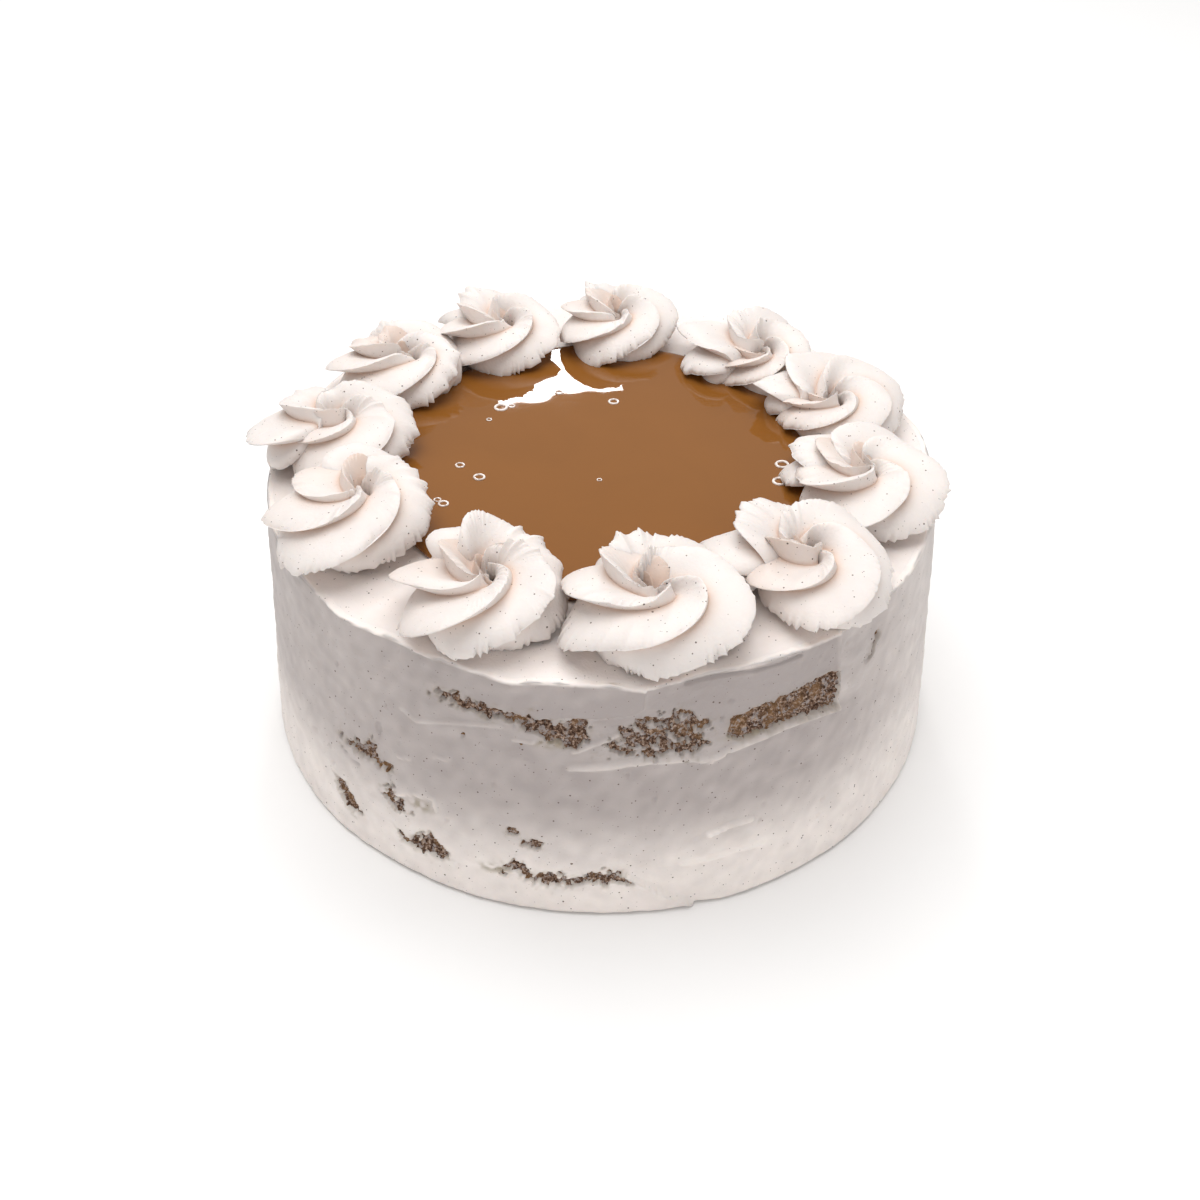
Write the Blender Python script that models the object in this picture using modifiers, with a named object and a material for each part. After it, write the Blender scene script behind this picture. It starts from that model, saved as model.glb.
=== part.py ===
"""Round cream cake: a sponge in a thin scraped coat, a caramel pool and a ring of piped rosettes.

Frame: metres, +Z up, origin at the centre of the underside, the front at -Y.
"""
import math

import bmesh
import bpy
import numpy as np

MM = 0.001
DEG = math.pi / 180

# Driving dimensions
CAKE_HEIGHT = 88 * MM          # underside to the flat of the cream top
TOP_RADIUS = 106 * MM          # cream side at the rim
FOOT_RADIUS = 111.5 * MM       # cream side at the foot
GAP = 0.3 * MM                 # clearance between solids that touch in the real cake
COAT_LIFT = 0.5 * MM           # the cream's lower edge stays clear of the table

# Cream coat
TOP_COAT = 4.5 * MM
SIDE_COAT = 5.0 * MM
RIM_ROUND = 2.2 * MM
RIM_CHAMFER = 0.3              # the rounding's middle point lies in by this share of it both ways
RIM_LEVEL = 6 * MM             # level band inside the rounding
WAIST = 0.66                   # share of the height where the side has a ring of points
COAT_STEPS = 84

# Rim bulges: where the scraper stopped, as (azimuth in degrees, bulge, half width in degrees)
RIM_BULGES = (
    (-133, 1.2 * MM, 4), (-122, -1.0 * MM, 5), (-103.5, 2.0 * MM, 4), (-83.6, 1.8 * MM, 4),
    (-73, -1.2 * MM, 5), (-50, 0.6 * MM, 5), (-20, -0.8 * MM, 8), (12, 1.2 * MM, 5),
    (38, -1.0 * MM, 6), (66, 1.5 * MM, 5), (95, -0.8 * MM, 7), (124, 1.4 * MM, 5), (158, -0.9 * MM, 6),
)
BULGE_FADE = 30 * MM           # a rim bulge dies out this far below the rim
BULGE_START = 0.9              # share of the top's radius where a bulge starts, and how much more
BULGE_GROWTH = 0.06            # of it the bulge takes to reach its full size

# Caramel pool
POOL_RADIUS = 70 * MM
POOL_DEPTH = 2.5 * MM
POOL_STEPS = 66
POOL_LEVEL = 0.975             # share of the pool's radius that is level
POOL_FOOT = 0.985              # radius of its underside, as a share
POOL_BROW = 0.6                # height of its widest line, as a share of its depth
POOL_CLEARANCE = 2.4 * MM      # between the pool's edge and a rosette's widest line

# Bare sponge streaks on the side, from left to right, each a row of stations:
# (azimuth in degrees, height of the streak's middle, its thickness, both in millimetres)
STREAKS = {
    "upper_left": ((-116.5, 77.0, 0.9), (-112, 75.6, 2.2), (-107, 74.6, 3.4), (-102, 73.3, 3.2),
                   (-98, 71.6, 4.6), (-95, 69.9, 7.0), (-92.2, 69.4, 4.6)),
    "upper_middle": ((-88.4, 64.8, 2.2), (-86, 68.4, 8.6), (-82, 69.4, 10.0), (-78, 70.2, 11.6),
                     (-74.6, 68.5, 7.6)),
    "upper_right": ((-70.2, 66.2, 4.6), (-68, 67.4, 8.4), (-62, 68.2, 9.6), (-56, 69.0, 11.4),
                    (-53, 69.0, 14.0), (-50.4, 67.4, 13.0)),
    "middle_left": ((-136.4, 38.4, 1.3), (-132.5, 40.6, 1.6), (-129.3, 44.0, 4.6), (-127.4, 42.8, 3.8),
                    (-124.8, 40.0, 1.8)),
    "low_left": ((-137.6, 18.6, 3.6), (-134.5, 17.2, 6.6), (-131.2, 15.6, 4.4)),
    "low_middle": ((-123.2, 16.2, 1.2), (-120, 15.4, 3.0), (-117, 17.0, 8.6), (-115.5, 15.6, 6.0),
                   (-113.9, 13.6, 1.6)),
    "foot": ((-105.5, 16.4, 1.2), (-102.3, 17.0, 4.8), (-100, 14.2, 2.4), (-94.2, 13.4, 4.0),
             (-91.5, 14.4, 1.6), (-88.7, 15.0, 3.8), (-85.2, 14.6, 1.2)),
    "right_nick": ((-42.1, 70.5, 1.0), (-41.3, 73.4, 6.4), (-40.6, 76.0, 1.0)),
    "back_upper": ((20, 70.0, 3.0), (25, 69.4, 6.4), (31, 70.4, 7.6), (37, 71.6, 6.0), (42, 73.0, 2.0)),
    "back_rim": ((84, 74.4, 1.2), (90, 73.0, 3.6), (96, 72.0, 7.2), (101, 71.2, 4.0)),
    "back_middle": ((131, 43.0, 1.6), (135, 41.4, 4.4), (139.5, 40.4, 2.0)),
    "back_foot": ((54, 16.0, 1.4), (59, 15.0, 4.6), (65, 14.2, 2.6), (71, 15.2, 1.4)),
    "back_left": ((163, 66.4, 2.4), (169, 67.4, 6.8), (175, 66.0, 3.4)),
}
STREAK_RECESS = 0.8 * MM       # bare crumb lies this far below the cream's surface
STREAK_ROOT = 2 * MM           # a streak starts this far inside the drum
CUTTER_PROUD = 3 * MM          # the hollow's cutter passes out through the side by this much
CUTTER_BELOW = 5 * MM          # and through the underside by this much

# Piped rosettes: (ring azimuth in degrees, ring radius, width, height in millimetres, seed)
ROSETTES = (
    (116.4, 78.0, 42.0, 16.0, 1), (84.2, 77.0, 42.5, 16.0, 2), (50.5, 76.5, 44.5, 16.0, 3),
    (19.6, 83.0, 46.0, 16.5, 4), (-14.4, 83.0, 51.0, 18.5, 5), (-48.2, 84.0, 50.0, 19.0, 6),
    (-79.4, 82.0, 51.0, 20.0, 7), (-113.5, 82.5, 53.0, 20.0, 8), (-148.5, 83.5, 52.0, 20.0, 9),
    (-179.0, 83.0, 51.0, 19.0, 10), (147.8, 79.5, 47.0, 18.0, 11),
)
FLUTES = 6                     # points of the star nozzle
FACES_PER_FLUTE = 4
ROSETTE_RINGS = 18
ROPE_SHARE = 0.37              # piped rope's half width over the rosette's half width
FLUTE_DEPTH = 0.165            # crest to valley over the rosette's half width
CREST_SHARPNESS = 2.8
CREST_LEAN = 0.06              # crests hook outwards by this share of the half width
ROPE_START = -50 * DEG         # angles round the rope's section, 0 at its outer side
ROPE_END = 175 * DEG
PIT_TURN = 40 * DEG
BUD_TURN = 110 * DEG
PIT_HEIGHT = 0.56              # crease round the inner curl, over the rosette's height
BUD_HEIGHT = 0.84              # top of the inner curl, over the rosette's height
FAST_SIDE = 145 * DEG          # azimuth where the crests run outwards as points
UNEVEN_TWIST = 0.5
PRESS_START = 0.80             # share of the way to a neighbour where the flank starts to flatten
PRESS_TILT = 20 * DEG          # the pressed faces lean, so one rosette lies on the next
PRESS_GAP = 0.6 * GAP          # each pressed face stays this far from the middle of the gap
PRESS_HEIGHT = 0.35            # share of the height where a leaning face crosses the middle
FLUTE_INSET = 0.35             # the rope is drawn in by this share of the flutes' depth
PIT_SHARE = 0.86               # the crease's radius over that of the rope's inner edge
PIT_DROP = 0.45                # how steeply the rope's inner side falls into the crease
CREASE_OUT, CREASE_UP, CREASE_IN = 0.3 * MM, 0.5 * MM, 0.4 * MM    # how open the crease is
BUD_SHOULDER = 0.6             # radius of the curl's shoulder over that of the crease
BUD_STEEP = 0.8                # share of the curl's height that its side reaches steeply
CREST_SHIFT = 0.13             # crests stand up to this share of their spacing out of place
CREST_UNEVEN = 0.35            # and are up to this share deeper or flatter
CREST_RISE = 28 * DEG          # turn over which the crests grow out of the base
CREST_FADE = 0.3               # crests fade inside this share of the half width
CREST_FOOT = 0.33              # share of a crest's depth that is sunk as the valley
SIDE_DEPTH = 0.25              # flutes are deeper by this share on the fast side
DEPTH_WAVER = 0.12
WINDING_WAVER = 0.1
OUTLINE_WAVER = (0.05, 0.04)   # the outline swells once and twice round by these shares
HOOK_SHARPNESS = 5
HOOK_FADE = 60 * DEG           # crests stop hooking outwards over this much of the rope's turn
HOOK_BACK = -0.3               # and hook inwards by this share in the hollow
TABLE_SIZE = 20001             # places where the winding is worked out
SLOPE_STEP = 0.002             # turn between the two points that give the section's slope
TINY = 1e-12
SHARP_ANGLE = 35 * DEG
MERGE_DISTANCE = 0.05 * MM


def clear_scene():
    for old in list(bpy.data.objects):
        bpy.data.objects.remove(old, do_unlink=True)


def new_collection(name):
    group = bpy.data.collections.new(name)
    bpy.context.scene.collection.children.link(group)
    return group


def linear(hex_colour):
    """sRGB hex to the linear colour that the shader takes."""
    channels = [int(hex_colour[i:i + 2], 16) / 255 for i in (1, 3, 5)]
    return [c / 12.92 if c <= 0.04045 else ((c + 0.055) / 1.055) ** 2.4 for c in channels] + [1.0]


def new_material(name, hex_colour, roughness):
    material = bpy.data.materials.new(name)
    material.use_nodes = True
    shader = material.node_tree.nodes["Principled BSDF"]
    shader.inputs["Base Color"].default_value = linear(hex_colour)
    shader.inputs["Roughness"].default_value = roughness
    shader.inputs["Metallic"].default_value = 0.0
    return material


def new_object(name, mesh, group, material=None):
    piece = bpy.data.objects.new(name, mesh)
    group.objects.link(piece)
    if material:
        mesh.materials.clear()
        mesh.materials.append(material)
    return piece


def mesh_from_bmesh(name, shape):
    bmesh.ops.recalc_face_normals(shape, faces=shape.faces)
    mesh = bpy.data.meshes.new(name)
    shape.to_mesh(mesh)
    shape.free()
    return mesh


def applied_mesh(piece):
    """The piece's mesh with its modifiers worked in."""
    depsgraph = bpy.context.evaluated_depsgraph_get()
    return bpy.data.meshes.new_from_object(piece.evaluated_get(depsgraph))


def turned_mesh(name, profile, steps, group):
    """A profile in the XZ plane, outer side running down, turned about Z and closed."""
    line = bpy.data.meshes.new(name)
    line.from_pydata([(r, 0, z) for r, z in profile], [(i, i + 1) for i in range(len(profile) - 1)], [])
    guide = new_object(name + "_guide", line, group)
    screw = guide.modifiers.new("turn", "SCREW")
    screw.steps = screw.render_steps = steps
    screw.use_merge_vertices = True
    screw.merge_threshold = MERGE_DISTANCE
    mesh = applied_mesh(guide)
    bpy.data.objects.remove(guide, do_unlink=True)
    return mesh


def move_vertices(mesh, rule):
    """Send every vertex through rule(x, y, z), which works on whole arrays."""
    points = np.empty(len(mesh.vertices) * 3, dtype=np.float32)
    mesh.vertices.foreach_get("co", points)
    x, y, z = points.reshape(-1, 3).T
    moved = np.stack(rule(x, y, z), axis=1).astype(np.float32)
    mesh.vertices.foreach_set("co", moved.ravel())
    mesh.update()


def angle_between(a, b):
    """Signed angle from b to a in degrees, between -180 and 180."""
    return (a - b + 180) % 360 - 180


def rim_bulge(azimuth, z):
    """How far the scraped cream stands proud or short of the plain cone."""
    fade = np.clip((z - CAKE_HEIGHT) / BULGE_FADE + 1, 0, 1)
    bulge = 0
    for centre, size, half_width in RIM_BULGES:
        bulge = bulge + size * np.exp(-(angle_between(azimuth, centre) / half_width) ** 2)
    return bulge * fade


def plain_radius(z):
    return FOOT_RADIUS + (TOP_RADIUS - FOOT_RADIUS) * z / CAKE_HEIGHT


def side_radius(azimuth, z):
    """Radius of the cream's side at an azimuth in degrees and a height."""
    return plain_radius(z) + rim_bulge(azimuth, z)


def sponge_radius(z):
    return plain_radius(z) - SIDE_COAT


def streak_mesh(name, stations, grow, recess):
    """A streak of crumb lofted through four-cornered sections that stand on the sponge."""
    sideways = grow / TOP_RADIUS / DEG
    azimuths = [station[0] for station in stations]
    azimuths[0] -= sideways
    azimuths[-1] += sideways
    shape = bmesh.new()
    rings = []
    for azimuth, (_, middle, thickness) in zip(azimuths, stations):
        low = (middle - thickness / 2) * MM - grow
        high = (middle + thickness / 2) * MM + grow
        corners = []
        for z, proud in ((low, False), (low, True), (high, True), (high, False)):
            radius = side_radius(azimuth, z) - recess if proud else sponge_radius(z) - STREAK_ROOT
            corners.append(shape.verts.new(
                (radius * math.cos(azimuth * DEG), radius * math.sin(azimuth * DEG), z)))
        rings.append(corners)
    for here, there in zip(rings, rings[1:]):
        for i in range(4):
            shape.faces.new((here[i], here[(i + 1) % 4], there[(i + 1) % 4], there[i]))
    shape.faces.new(rings[0])
    shape.faces.new(rings[-1])
    return mesh_from_bmesh(name, shape)


def sponge_body(name, grow, recess, floor, group):
    """Tapered sponge drum joined with its bare streaks, all grown outwards by a clearance."""
    top = CAKE_HEIGHT - TOP_COAT
    shape = bmesh.new()
    bmesh.ops.create_cone(
        shape, cap_ends=True, segments=COAT_STEPS, radius1=sponge_radius(floor) + grow,
        radius2=sponge_radius(top) + grow, depth=top + grow - floor)
    bmesh.ops.translate(shape, verts=shape.verts, vec=(0, 0, (top + grow + floor) / 2))
    drum = new_object(name, mesh_from_bmesh(name, shape), group)
    streaks = new_collection(name + "_streaks")
    for label, stations in STREAKS.items():
        mesh = streak_mesh(name + "_" + label, stations, grow, recess)
        new_object(name + "_" + label, mesh, streaks)
    join = drum.modifiers.new("streaks", "BOOLEAN")
    join.operation = "UNION"
    join.operand_type = "COLLECTION"
    join.collection = streaks
    join.solver = "EXACT"
    drum.data = applied_mesh(drum)
    drum.modifiers.clear()
    for streak in list(streaks.objects):
        bpy.data.objects.remove(streak, do_unlink=True)
    bpy.data.collections.remove(streaks)
    return drum


def make_sponge(group):
    sponge = sponge_body("sponge", 0, STREAK_RECESS, 0, group)
    sponge.data.materials.clear()
    sponge.data.materials.append(new_material("chocolate sponge", "#8A6F58", 0.95))
    return sponge


def make_coat(group, cutters):
    """Cream over the top and side, scraped through where the sponge shows."""
    chamfer = RIM_CHAMFER * RIM_ROUND
    profile = [
        (0, CAKE_HEIGHT), (TOP_RADIUS - RIM_ROUND - RIM_LEVEL, CAKE_HEIGHT),
        (TOP_RADIUS - RIM_ROUND, CAKE_HEIGHT), (TOP_RADIUS - chamfer, CAKE_HEIGHT - chamfer),
        (plain_radius(CAKE_HEIGHT - RIM_ROUND), CAKE_HEIGHT - RIM_ROUND),
        (plain_radius(WAIST * CAKE_HEIGHT), WAIST * CAKE_HEIGHT),
        (plain_radius(COAT_LIFT), COAT_LIFT), (0, COAT_LIFT)]
    mesh = turned_mesh("cream_coat", profile, COAT_STEPS, cutters)

    def scrape(x, y, z):
        azimuth = np.degrees(np.arctan2(y, x))
        radius = np.hypot(x, y)
        outer = np.clip((radius - BULGE_START * TOP_RADIUS) / (BULGE_GROWTH * TOP_RADIUS), 0, 1)
        stretch = 1 + outer * rim_bulge(azimuth, z) / np.maximum(radius, TOP_RADIUS / 2)
        return x * stretch, y * stretch, z

    move_vertices(mesh, scrape)
    coat = new_object("cream_coat", mesh, group)
    hollow = sponge_body("coat_hollow", GAP, -CUTTER_PROUD, -CUTTER_BELOW, cutters)
    hollow.hide_render = True
    hollow.display_type = "WIRE"
    cut = coat.modifiers.new("hollow", "BOOLEAN")
    cut.operation = "DIFFERENCE"
    cut.object = hollow
    cut.solver = "EXACT"
    coat.data = applied_mesh(coat)
    coat.modifiers.clear()
    bpy.data.objects.remove(hollow, do_unlink=True)
    coat.data.materials.clear()
    coat.data.materials.append(new_material("whipped cream coat", "#E6DAD2", 0.6))
    return coat


def rosette_centre(index):
    azimuth, ring = ROSETTES[index][:2]
    return np.array([math.cos(azimuth * DEG), math.sin(azimuth * DEG)]) * ring * MM


def pool_radius(azimuth):
    """Pool outline: a disc held back by the rosettes that stand round it."""
    direction = np.stack([np.cos(azimuth), np.sin(azimuth)], axis=-1)
    reach = np.full(azimuth.shape, POOL_RADIUS)
    for index, rosette in enumerate(ROSETTES):
        centre = rosette_centre(index)
        keep_out = rosette[2] * MM / 2 + POOL_CLEARANCE
        along = direction @ centre
        across = centre @ centre - along ** 2
        inside = np.maximum(keep_out ** 2 - across, 0)
        hit = (inside > 0) & (along > 0)
        reach = np.where(hit, np.minimum(reach, along - np.sqrt(inside)), reach)
    return reach


def make_glaze(group, cutters):
    """Level caramel pool with a rounded edge."""
    base = CAKE_HEIGHT + GAP
    profile = [(0, base + POOL_DEPTH), (POOL_LEVEL, base + POOL_DEPTH),
               (1.0, base + POOL_BROW * POOL_DEPTH), (POOL_FOOT, base), (0, base)]
    mesh = turned_mesh("caramel_glaze", profile, POOL_STEPS, cutters)

    def spread(x, y, z):
        reach = pool_radius(np.arctan2(y, x))
        return x * reach, y * reach, z

    move_vertices(mesh, spread)
    return new_object("caramel_glaze", mesh, group, new_material("caramel glaze", "#A06A40", 0.12))


def bezier(points, t):
    """Cubic curve through four control points, for an array of parameters."""
    s = 1 - t
    weights = (s ** 3, 3 * s * s * t, 3 * s * t * t, t ** 3)
    return sum(w * p for w, p in zip(weights, points))


def rope_profile(turn, half_width, height):
    """Radius and height of the rosette's plain section: up the rope, down a pit, over a curl."""
    rope = ROPE_SHARE * half_width
    loop = half_width - rope - FLUTE_INSET * FLUTE_DEPTH * half_width
    lift = -height / 2 * math.sin(ROPE_START)
    angle = ROPE_START + np.minimum(turn, ROPE_END - ROPE_START)
    radius = loop + rope * np.cos(angle)
    z = lift + height / 2 * np.sin(angle)
    edge_r = loop + rope * math.cos(ROPE_END)
    edge_z = lift + height / 2 * math.sin(ROPE_END)
    pit_r, pit_z, bud_z = PIT_SHARE * edge_r, PIT_HEIGHT * height, BUD_HEIGHT * height
    drop = np.clip((turn - ROPE_END + ROPE_START) / PIT_TURN, 0, 1)
    climb = np.clip((turn - ROPE_END + ROPE_START - PIT_TURN) / BUD_TURN, 0, 1)
    sink = (edge_z - pit_z) * PIT_DROP
    shoulder_r = BUD_SHOULDER * pit_r
    side_z = (1 - BUD_STEEP) * pit_z + BUD_STEEP * bud_z
    in_pit = turn > ROPE_END - ROPE_START
    on_bud = turn > ROPE_END - ROPE_START + PIT_TURN
    radius = np.where(in_pit, bezier((edge_r, edge_r, pit_r + CREASE_OUT, pit_r), drop), radius)
    z = np.where(in_pit, bezier((edge_z, edge_z - sink, pit_z + CREASE_UP, pit_z), drop), z)
    radius = np.where(on_bud, bezier((pit_r, pit_r - CREASE_IN, shoulder_r, 0), climb), radius)
    z = np.where(on_bud, bezier((pit_z, side_z, bud_z, bud_z), climb), z)
    return radius, z


def piped_points(column, row, half_width, height, seed):
    """Points of a star-nozzle rosette at grid places: column round it, row from edge to centre.

    Each column follows one flute line. It winds once and a bit round the rosette while it climbs
    over the rope into the hollow, quickly on the side where the crests point outwards.
    """
    rng = np.random.default_rng(seed)
    phase = rng.uniform(0, 2 * math.pi, 3)
    shift = rng.uniform(-CREST_SHIFT, CREST_SHIFT, FLUTES)
    strength = 1 + rng.uniform(-CREST_UNEVEN, CREST_UNEVEN, FLUTES)
    whole_turn = ROPE_END - ROPE_START + PIT_TURN + BUD_TURN

    def winding(angle):
        waver = WINDING_WAVER * np.sin(2 * angle - phase[0])
        return angle + UNEVEN_TWIST * np.sin(angle - FAST_SIDE) + waver

    table = np.linspace(-4 * math.pi, 8 * math.pi, TABLE_SIZE)
    flute = column * FLUTES
    marks = np.arange(FLUTES + 1)
    start = (flute + np.interp(flute, marks, np.append(shift, shift[0]))) / FLUTES * 2 * math.pi
    first = np.interp(start, winding(table), table)
    last = np.interp(start + whole_turn, winding(table), table)
    even = np.interp(start + whole_turn * row, winding(table), table)
    angle = 0.5 * (first + (last - first) * row + even)
    turn = np.clip(winding(angle) - start, 0, whole_turn)
    radius, z = rope_profile(turn, half_width, height)
    ahead = rope_profile(np.minimum(turn + SLOPE_STEP, whole_turn), half_width, height)
    behind = rope_profile(np.maximum(turn - SLOPE_STEP, 0), half_width, height)
    run_r, run_z = ahead[0] - behind[0], ahead[1] - behind[1]
    length = np.hypot(run_r, run_z) + TINY
    run_r, run_z = run_r / length, run_z / length
    crest = 2 * np.abs(flute - np.floor(flute) - 0.5)
    rise = np.clip(turn / CREST_RISE, 0, 1)
    envelope = rise * rise * (3 - 2 * rise) * np.clip(radius / (CREST_FADE * half_width), 0, 1)
    depth = FLUTE_DEPTH * half_width * np.interp(flute, marks, np.append(strength, strength[0]))
    waver = DEPTH_WAVER * np.sin(3 * angle + phase[1] + 2 * turn)
    depth = depth * (1 + SIDE_DEPTH * np.cos(angle - FAST_SIDE) + waver)
    out = depth * (crest ** CREST_SHARPNESS - CREST_FOOT) * envelope
    hook = CREST_LEAN * half_width * crest ** HOOK_SHARPNESS * envelope
    hook = hook * np.clip((ROPE_END - ROPE_START - turn) / HOOK_FADE, HOOK_BACK, 1)
    radius = np.maximum(radius + run_z * out - run_r * hook, 0)
    z = np.maximum(z - run_r * out - run_z * hook, 0)
    once, twice = OUTLINE_WAVER
    swell = once * np.sin(angle + phase[2]) + twice * np.sin(2 * angle + phase[1])
    radius = radius * (1 + swell * np.clip(radius / half_width, 0, 1))
    return radius * np.cos(angle), radius * np.sin(angle), z


def pressed(x, y, z, index):
    """Flatten a rosette's flanks where it leans on its two neighbours, and keep a gap there."""
    here = rosette_centre(index)
    width, height = ROSETTES[index][2] * MM, ROSETTES[index][3] * MM
    for step, lean in ((1, 1), (-1, -1)):
        other = (index + step) % len(ROSETTES)
        offset = rosette_centre(other) - here
        distance = np.hypot(*offset)
        share = width / (width + ROSETTES[other][2] * MM)
        tilt = lean * PRESS_TILT
        normal = np.array([*(offset / distance * math.cos(tilt)), math.sin(tilt)])
        middle = PRESS_HEIGHT * height
        limit = (distance * share - PRESS_GAP) * math.cos(tilt) + middle * math.sin(tilt)
        reach = x * normal[0] + y * normal[1] + z * normal[2]
        start = PRESS_START * limit
        room = limit - start
        squeezed = start + room * np.tanh(np.maximum(reach - start, 0) / room)
        push = np.where(reach > start, squeezed - reach, 0)
        x = x + push * normal[0] / math.cos(tilt) ** 2
        y = y + push * normal[1] / math.cos(tilt) ** 2
    return x, y, z


def make_rosette(index, group, material):
    """A globe whose meridians become flute lines and whose south pole is the flat base."""
    width, height, seed = ROSETTES[index][2:]
    name = "rosette_%02d" % (index + 1)
    columns = FLUTES * FACES_PER_FLUTE
    shape = bmesh.new()
    bmesh.ops.create_uvsphere(shape, u_segments=columns, v_segments=ROSETTE_RINGS, radius=1)
    mesh = mesh_from_bmesh(name, shape)
    centre = rosette_centre(index)

    def pipe(x, y, z):
        column = np.round(np.arctan2(y, x) / (2 * math.pi) * columns) % columns / columns
        ring = np.round((np.arcsin(np.clip(z, -1, 1)) / math.pi + 0.5) * ROSETTE_RINGS)
        row = np.clip(ring - 1, 0, None) / (ROSETTE_RINGS - 1)
        px, py, pz = piped_points(column, row, width / 2 * MM, height * MM, seed)
        at_base, at_top = ring == 0, ring == ROSETTE_RINGS
        px, py = np.where(at_base | at_top, 0, px), np.where(at_base | at_top, 0, py)
        pz = np.where(at_base | (ring == 1), 0, np.where(at_top, BUD_HEIGHT * height * MM, pz))
        px, py, pz = pressed(px, py, pz, index)
        return px + centre[0], py + centre[1], pz + CAKE_HEIGHT + GAP

    move_vertices(mesh, pipe)
    rosette = new_object(name, mesh, group, material)
    mesh.shade_smooth()
    mesh.set_sharp_from_angle(angle=SHARP_ANGLE)
    return rosette


def main():
    clear_scene()
    cake = new_collection("cream_cake")
    cutters = new_collection("cutters")
    make_sponge(cake)
    make_coat(cake, cutters)
    make_glaze(cake, cutters)
    cream = new_material("piped cream", "#EFE4DC", 0.55)
    for index in range(len(ROSETTES)):
        make_rosette(index, cake, cream)


main()
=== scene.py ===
"""Round cream cake: a scraped cream coat over chocolate sponge, a caramel pool and piped rosettes.

Every piece is a surface worked out as whole arrays over two parameters, in metres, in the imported
model's frame: +Z up, origin under the middle of the cake, the front at -Y.
"""

import math
from collections import namedtuple

import bpy
import numpy as np
from bpy.props import FloatProperty, FloatVectorProperty, PointerProperty
from bpy.types import Operator, Panel, PropertyGroup
from mathutils import Matrix, Vector


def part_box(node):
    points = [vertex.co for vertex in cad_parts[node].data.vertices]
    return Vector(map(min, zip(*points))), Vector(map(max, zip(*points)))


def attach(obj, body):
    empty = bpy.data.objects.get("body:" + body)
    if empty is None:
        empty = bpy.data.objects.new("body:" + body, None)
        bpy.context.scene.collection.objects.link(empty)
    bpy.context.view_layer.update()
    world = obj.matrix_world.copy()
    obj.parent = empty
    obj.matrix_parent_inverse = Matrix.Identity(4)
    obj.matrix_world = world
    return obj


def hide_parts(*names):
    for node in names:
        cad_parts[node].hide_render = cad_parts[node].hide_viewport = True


bl_info = {
    "name": "Cream cake",
    "version": (1, 0, 0),
    "blender": (4, 5, 0),
    "location": "3D View > Sidebar > Cake",
    "description": "Builds a round cream cake with piped rosettes and a caramel pool",
    "category": "Add Mesh",
}

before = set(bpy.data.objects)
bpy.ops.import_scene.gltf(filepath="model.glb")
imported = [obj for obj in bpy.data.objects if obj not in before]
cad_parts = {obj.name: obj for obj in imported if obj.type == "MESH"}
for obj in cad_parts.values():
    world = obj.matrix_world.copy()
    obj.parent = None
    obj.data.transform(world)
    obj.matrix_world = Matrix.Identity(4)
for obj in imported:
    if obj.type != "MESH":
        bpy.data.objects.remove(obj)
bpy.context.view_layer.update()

MM = 0.001
DEG = math.pi / 180
GLAZE_LOW, GLAZE_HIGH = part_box("caramel_glaze")

# Bulges of the rim: (azimuth in degrees, bulge in mm, half width in degrees)
RIM_BULGES = (
    (-133, 1.2, 4), (-122, -1, 5), (-103.5, 2, 4), (-83.6, 1.8, 4), (-73, -1.2, 5), (-50, 0.6, 5),
    (-20, -0.8, 8), (12, 1.2, 5), (38, -1, 6), (66, 1.5, 5), (95, -0.8, 7), (124, 1.4, 5), (158, -0.9, 6),
)
BULGE_FADE = 30 * MM  # a bulge dies out this far below the rim

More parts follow.
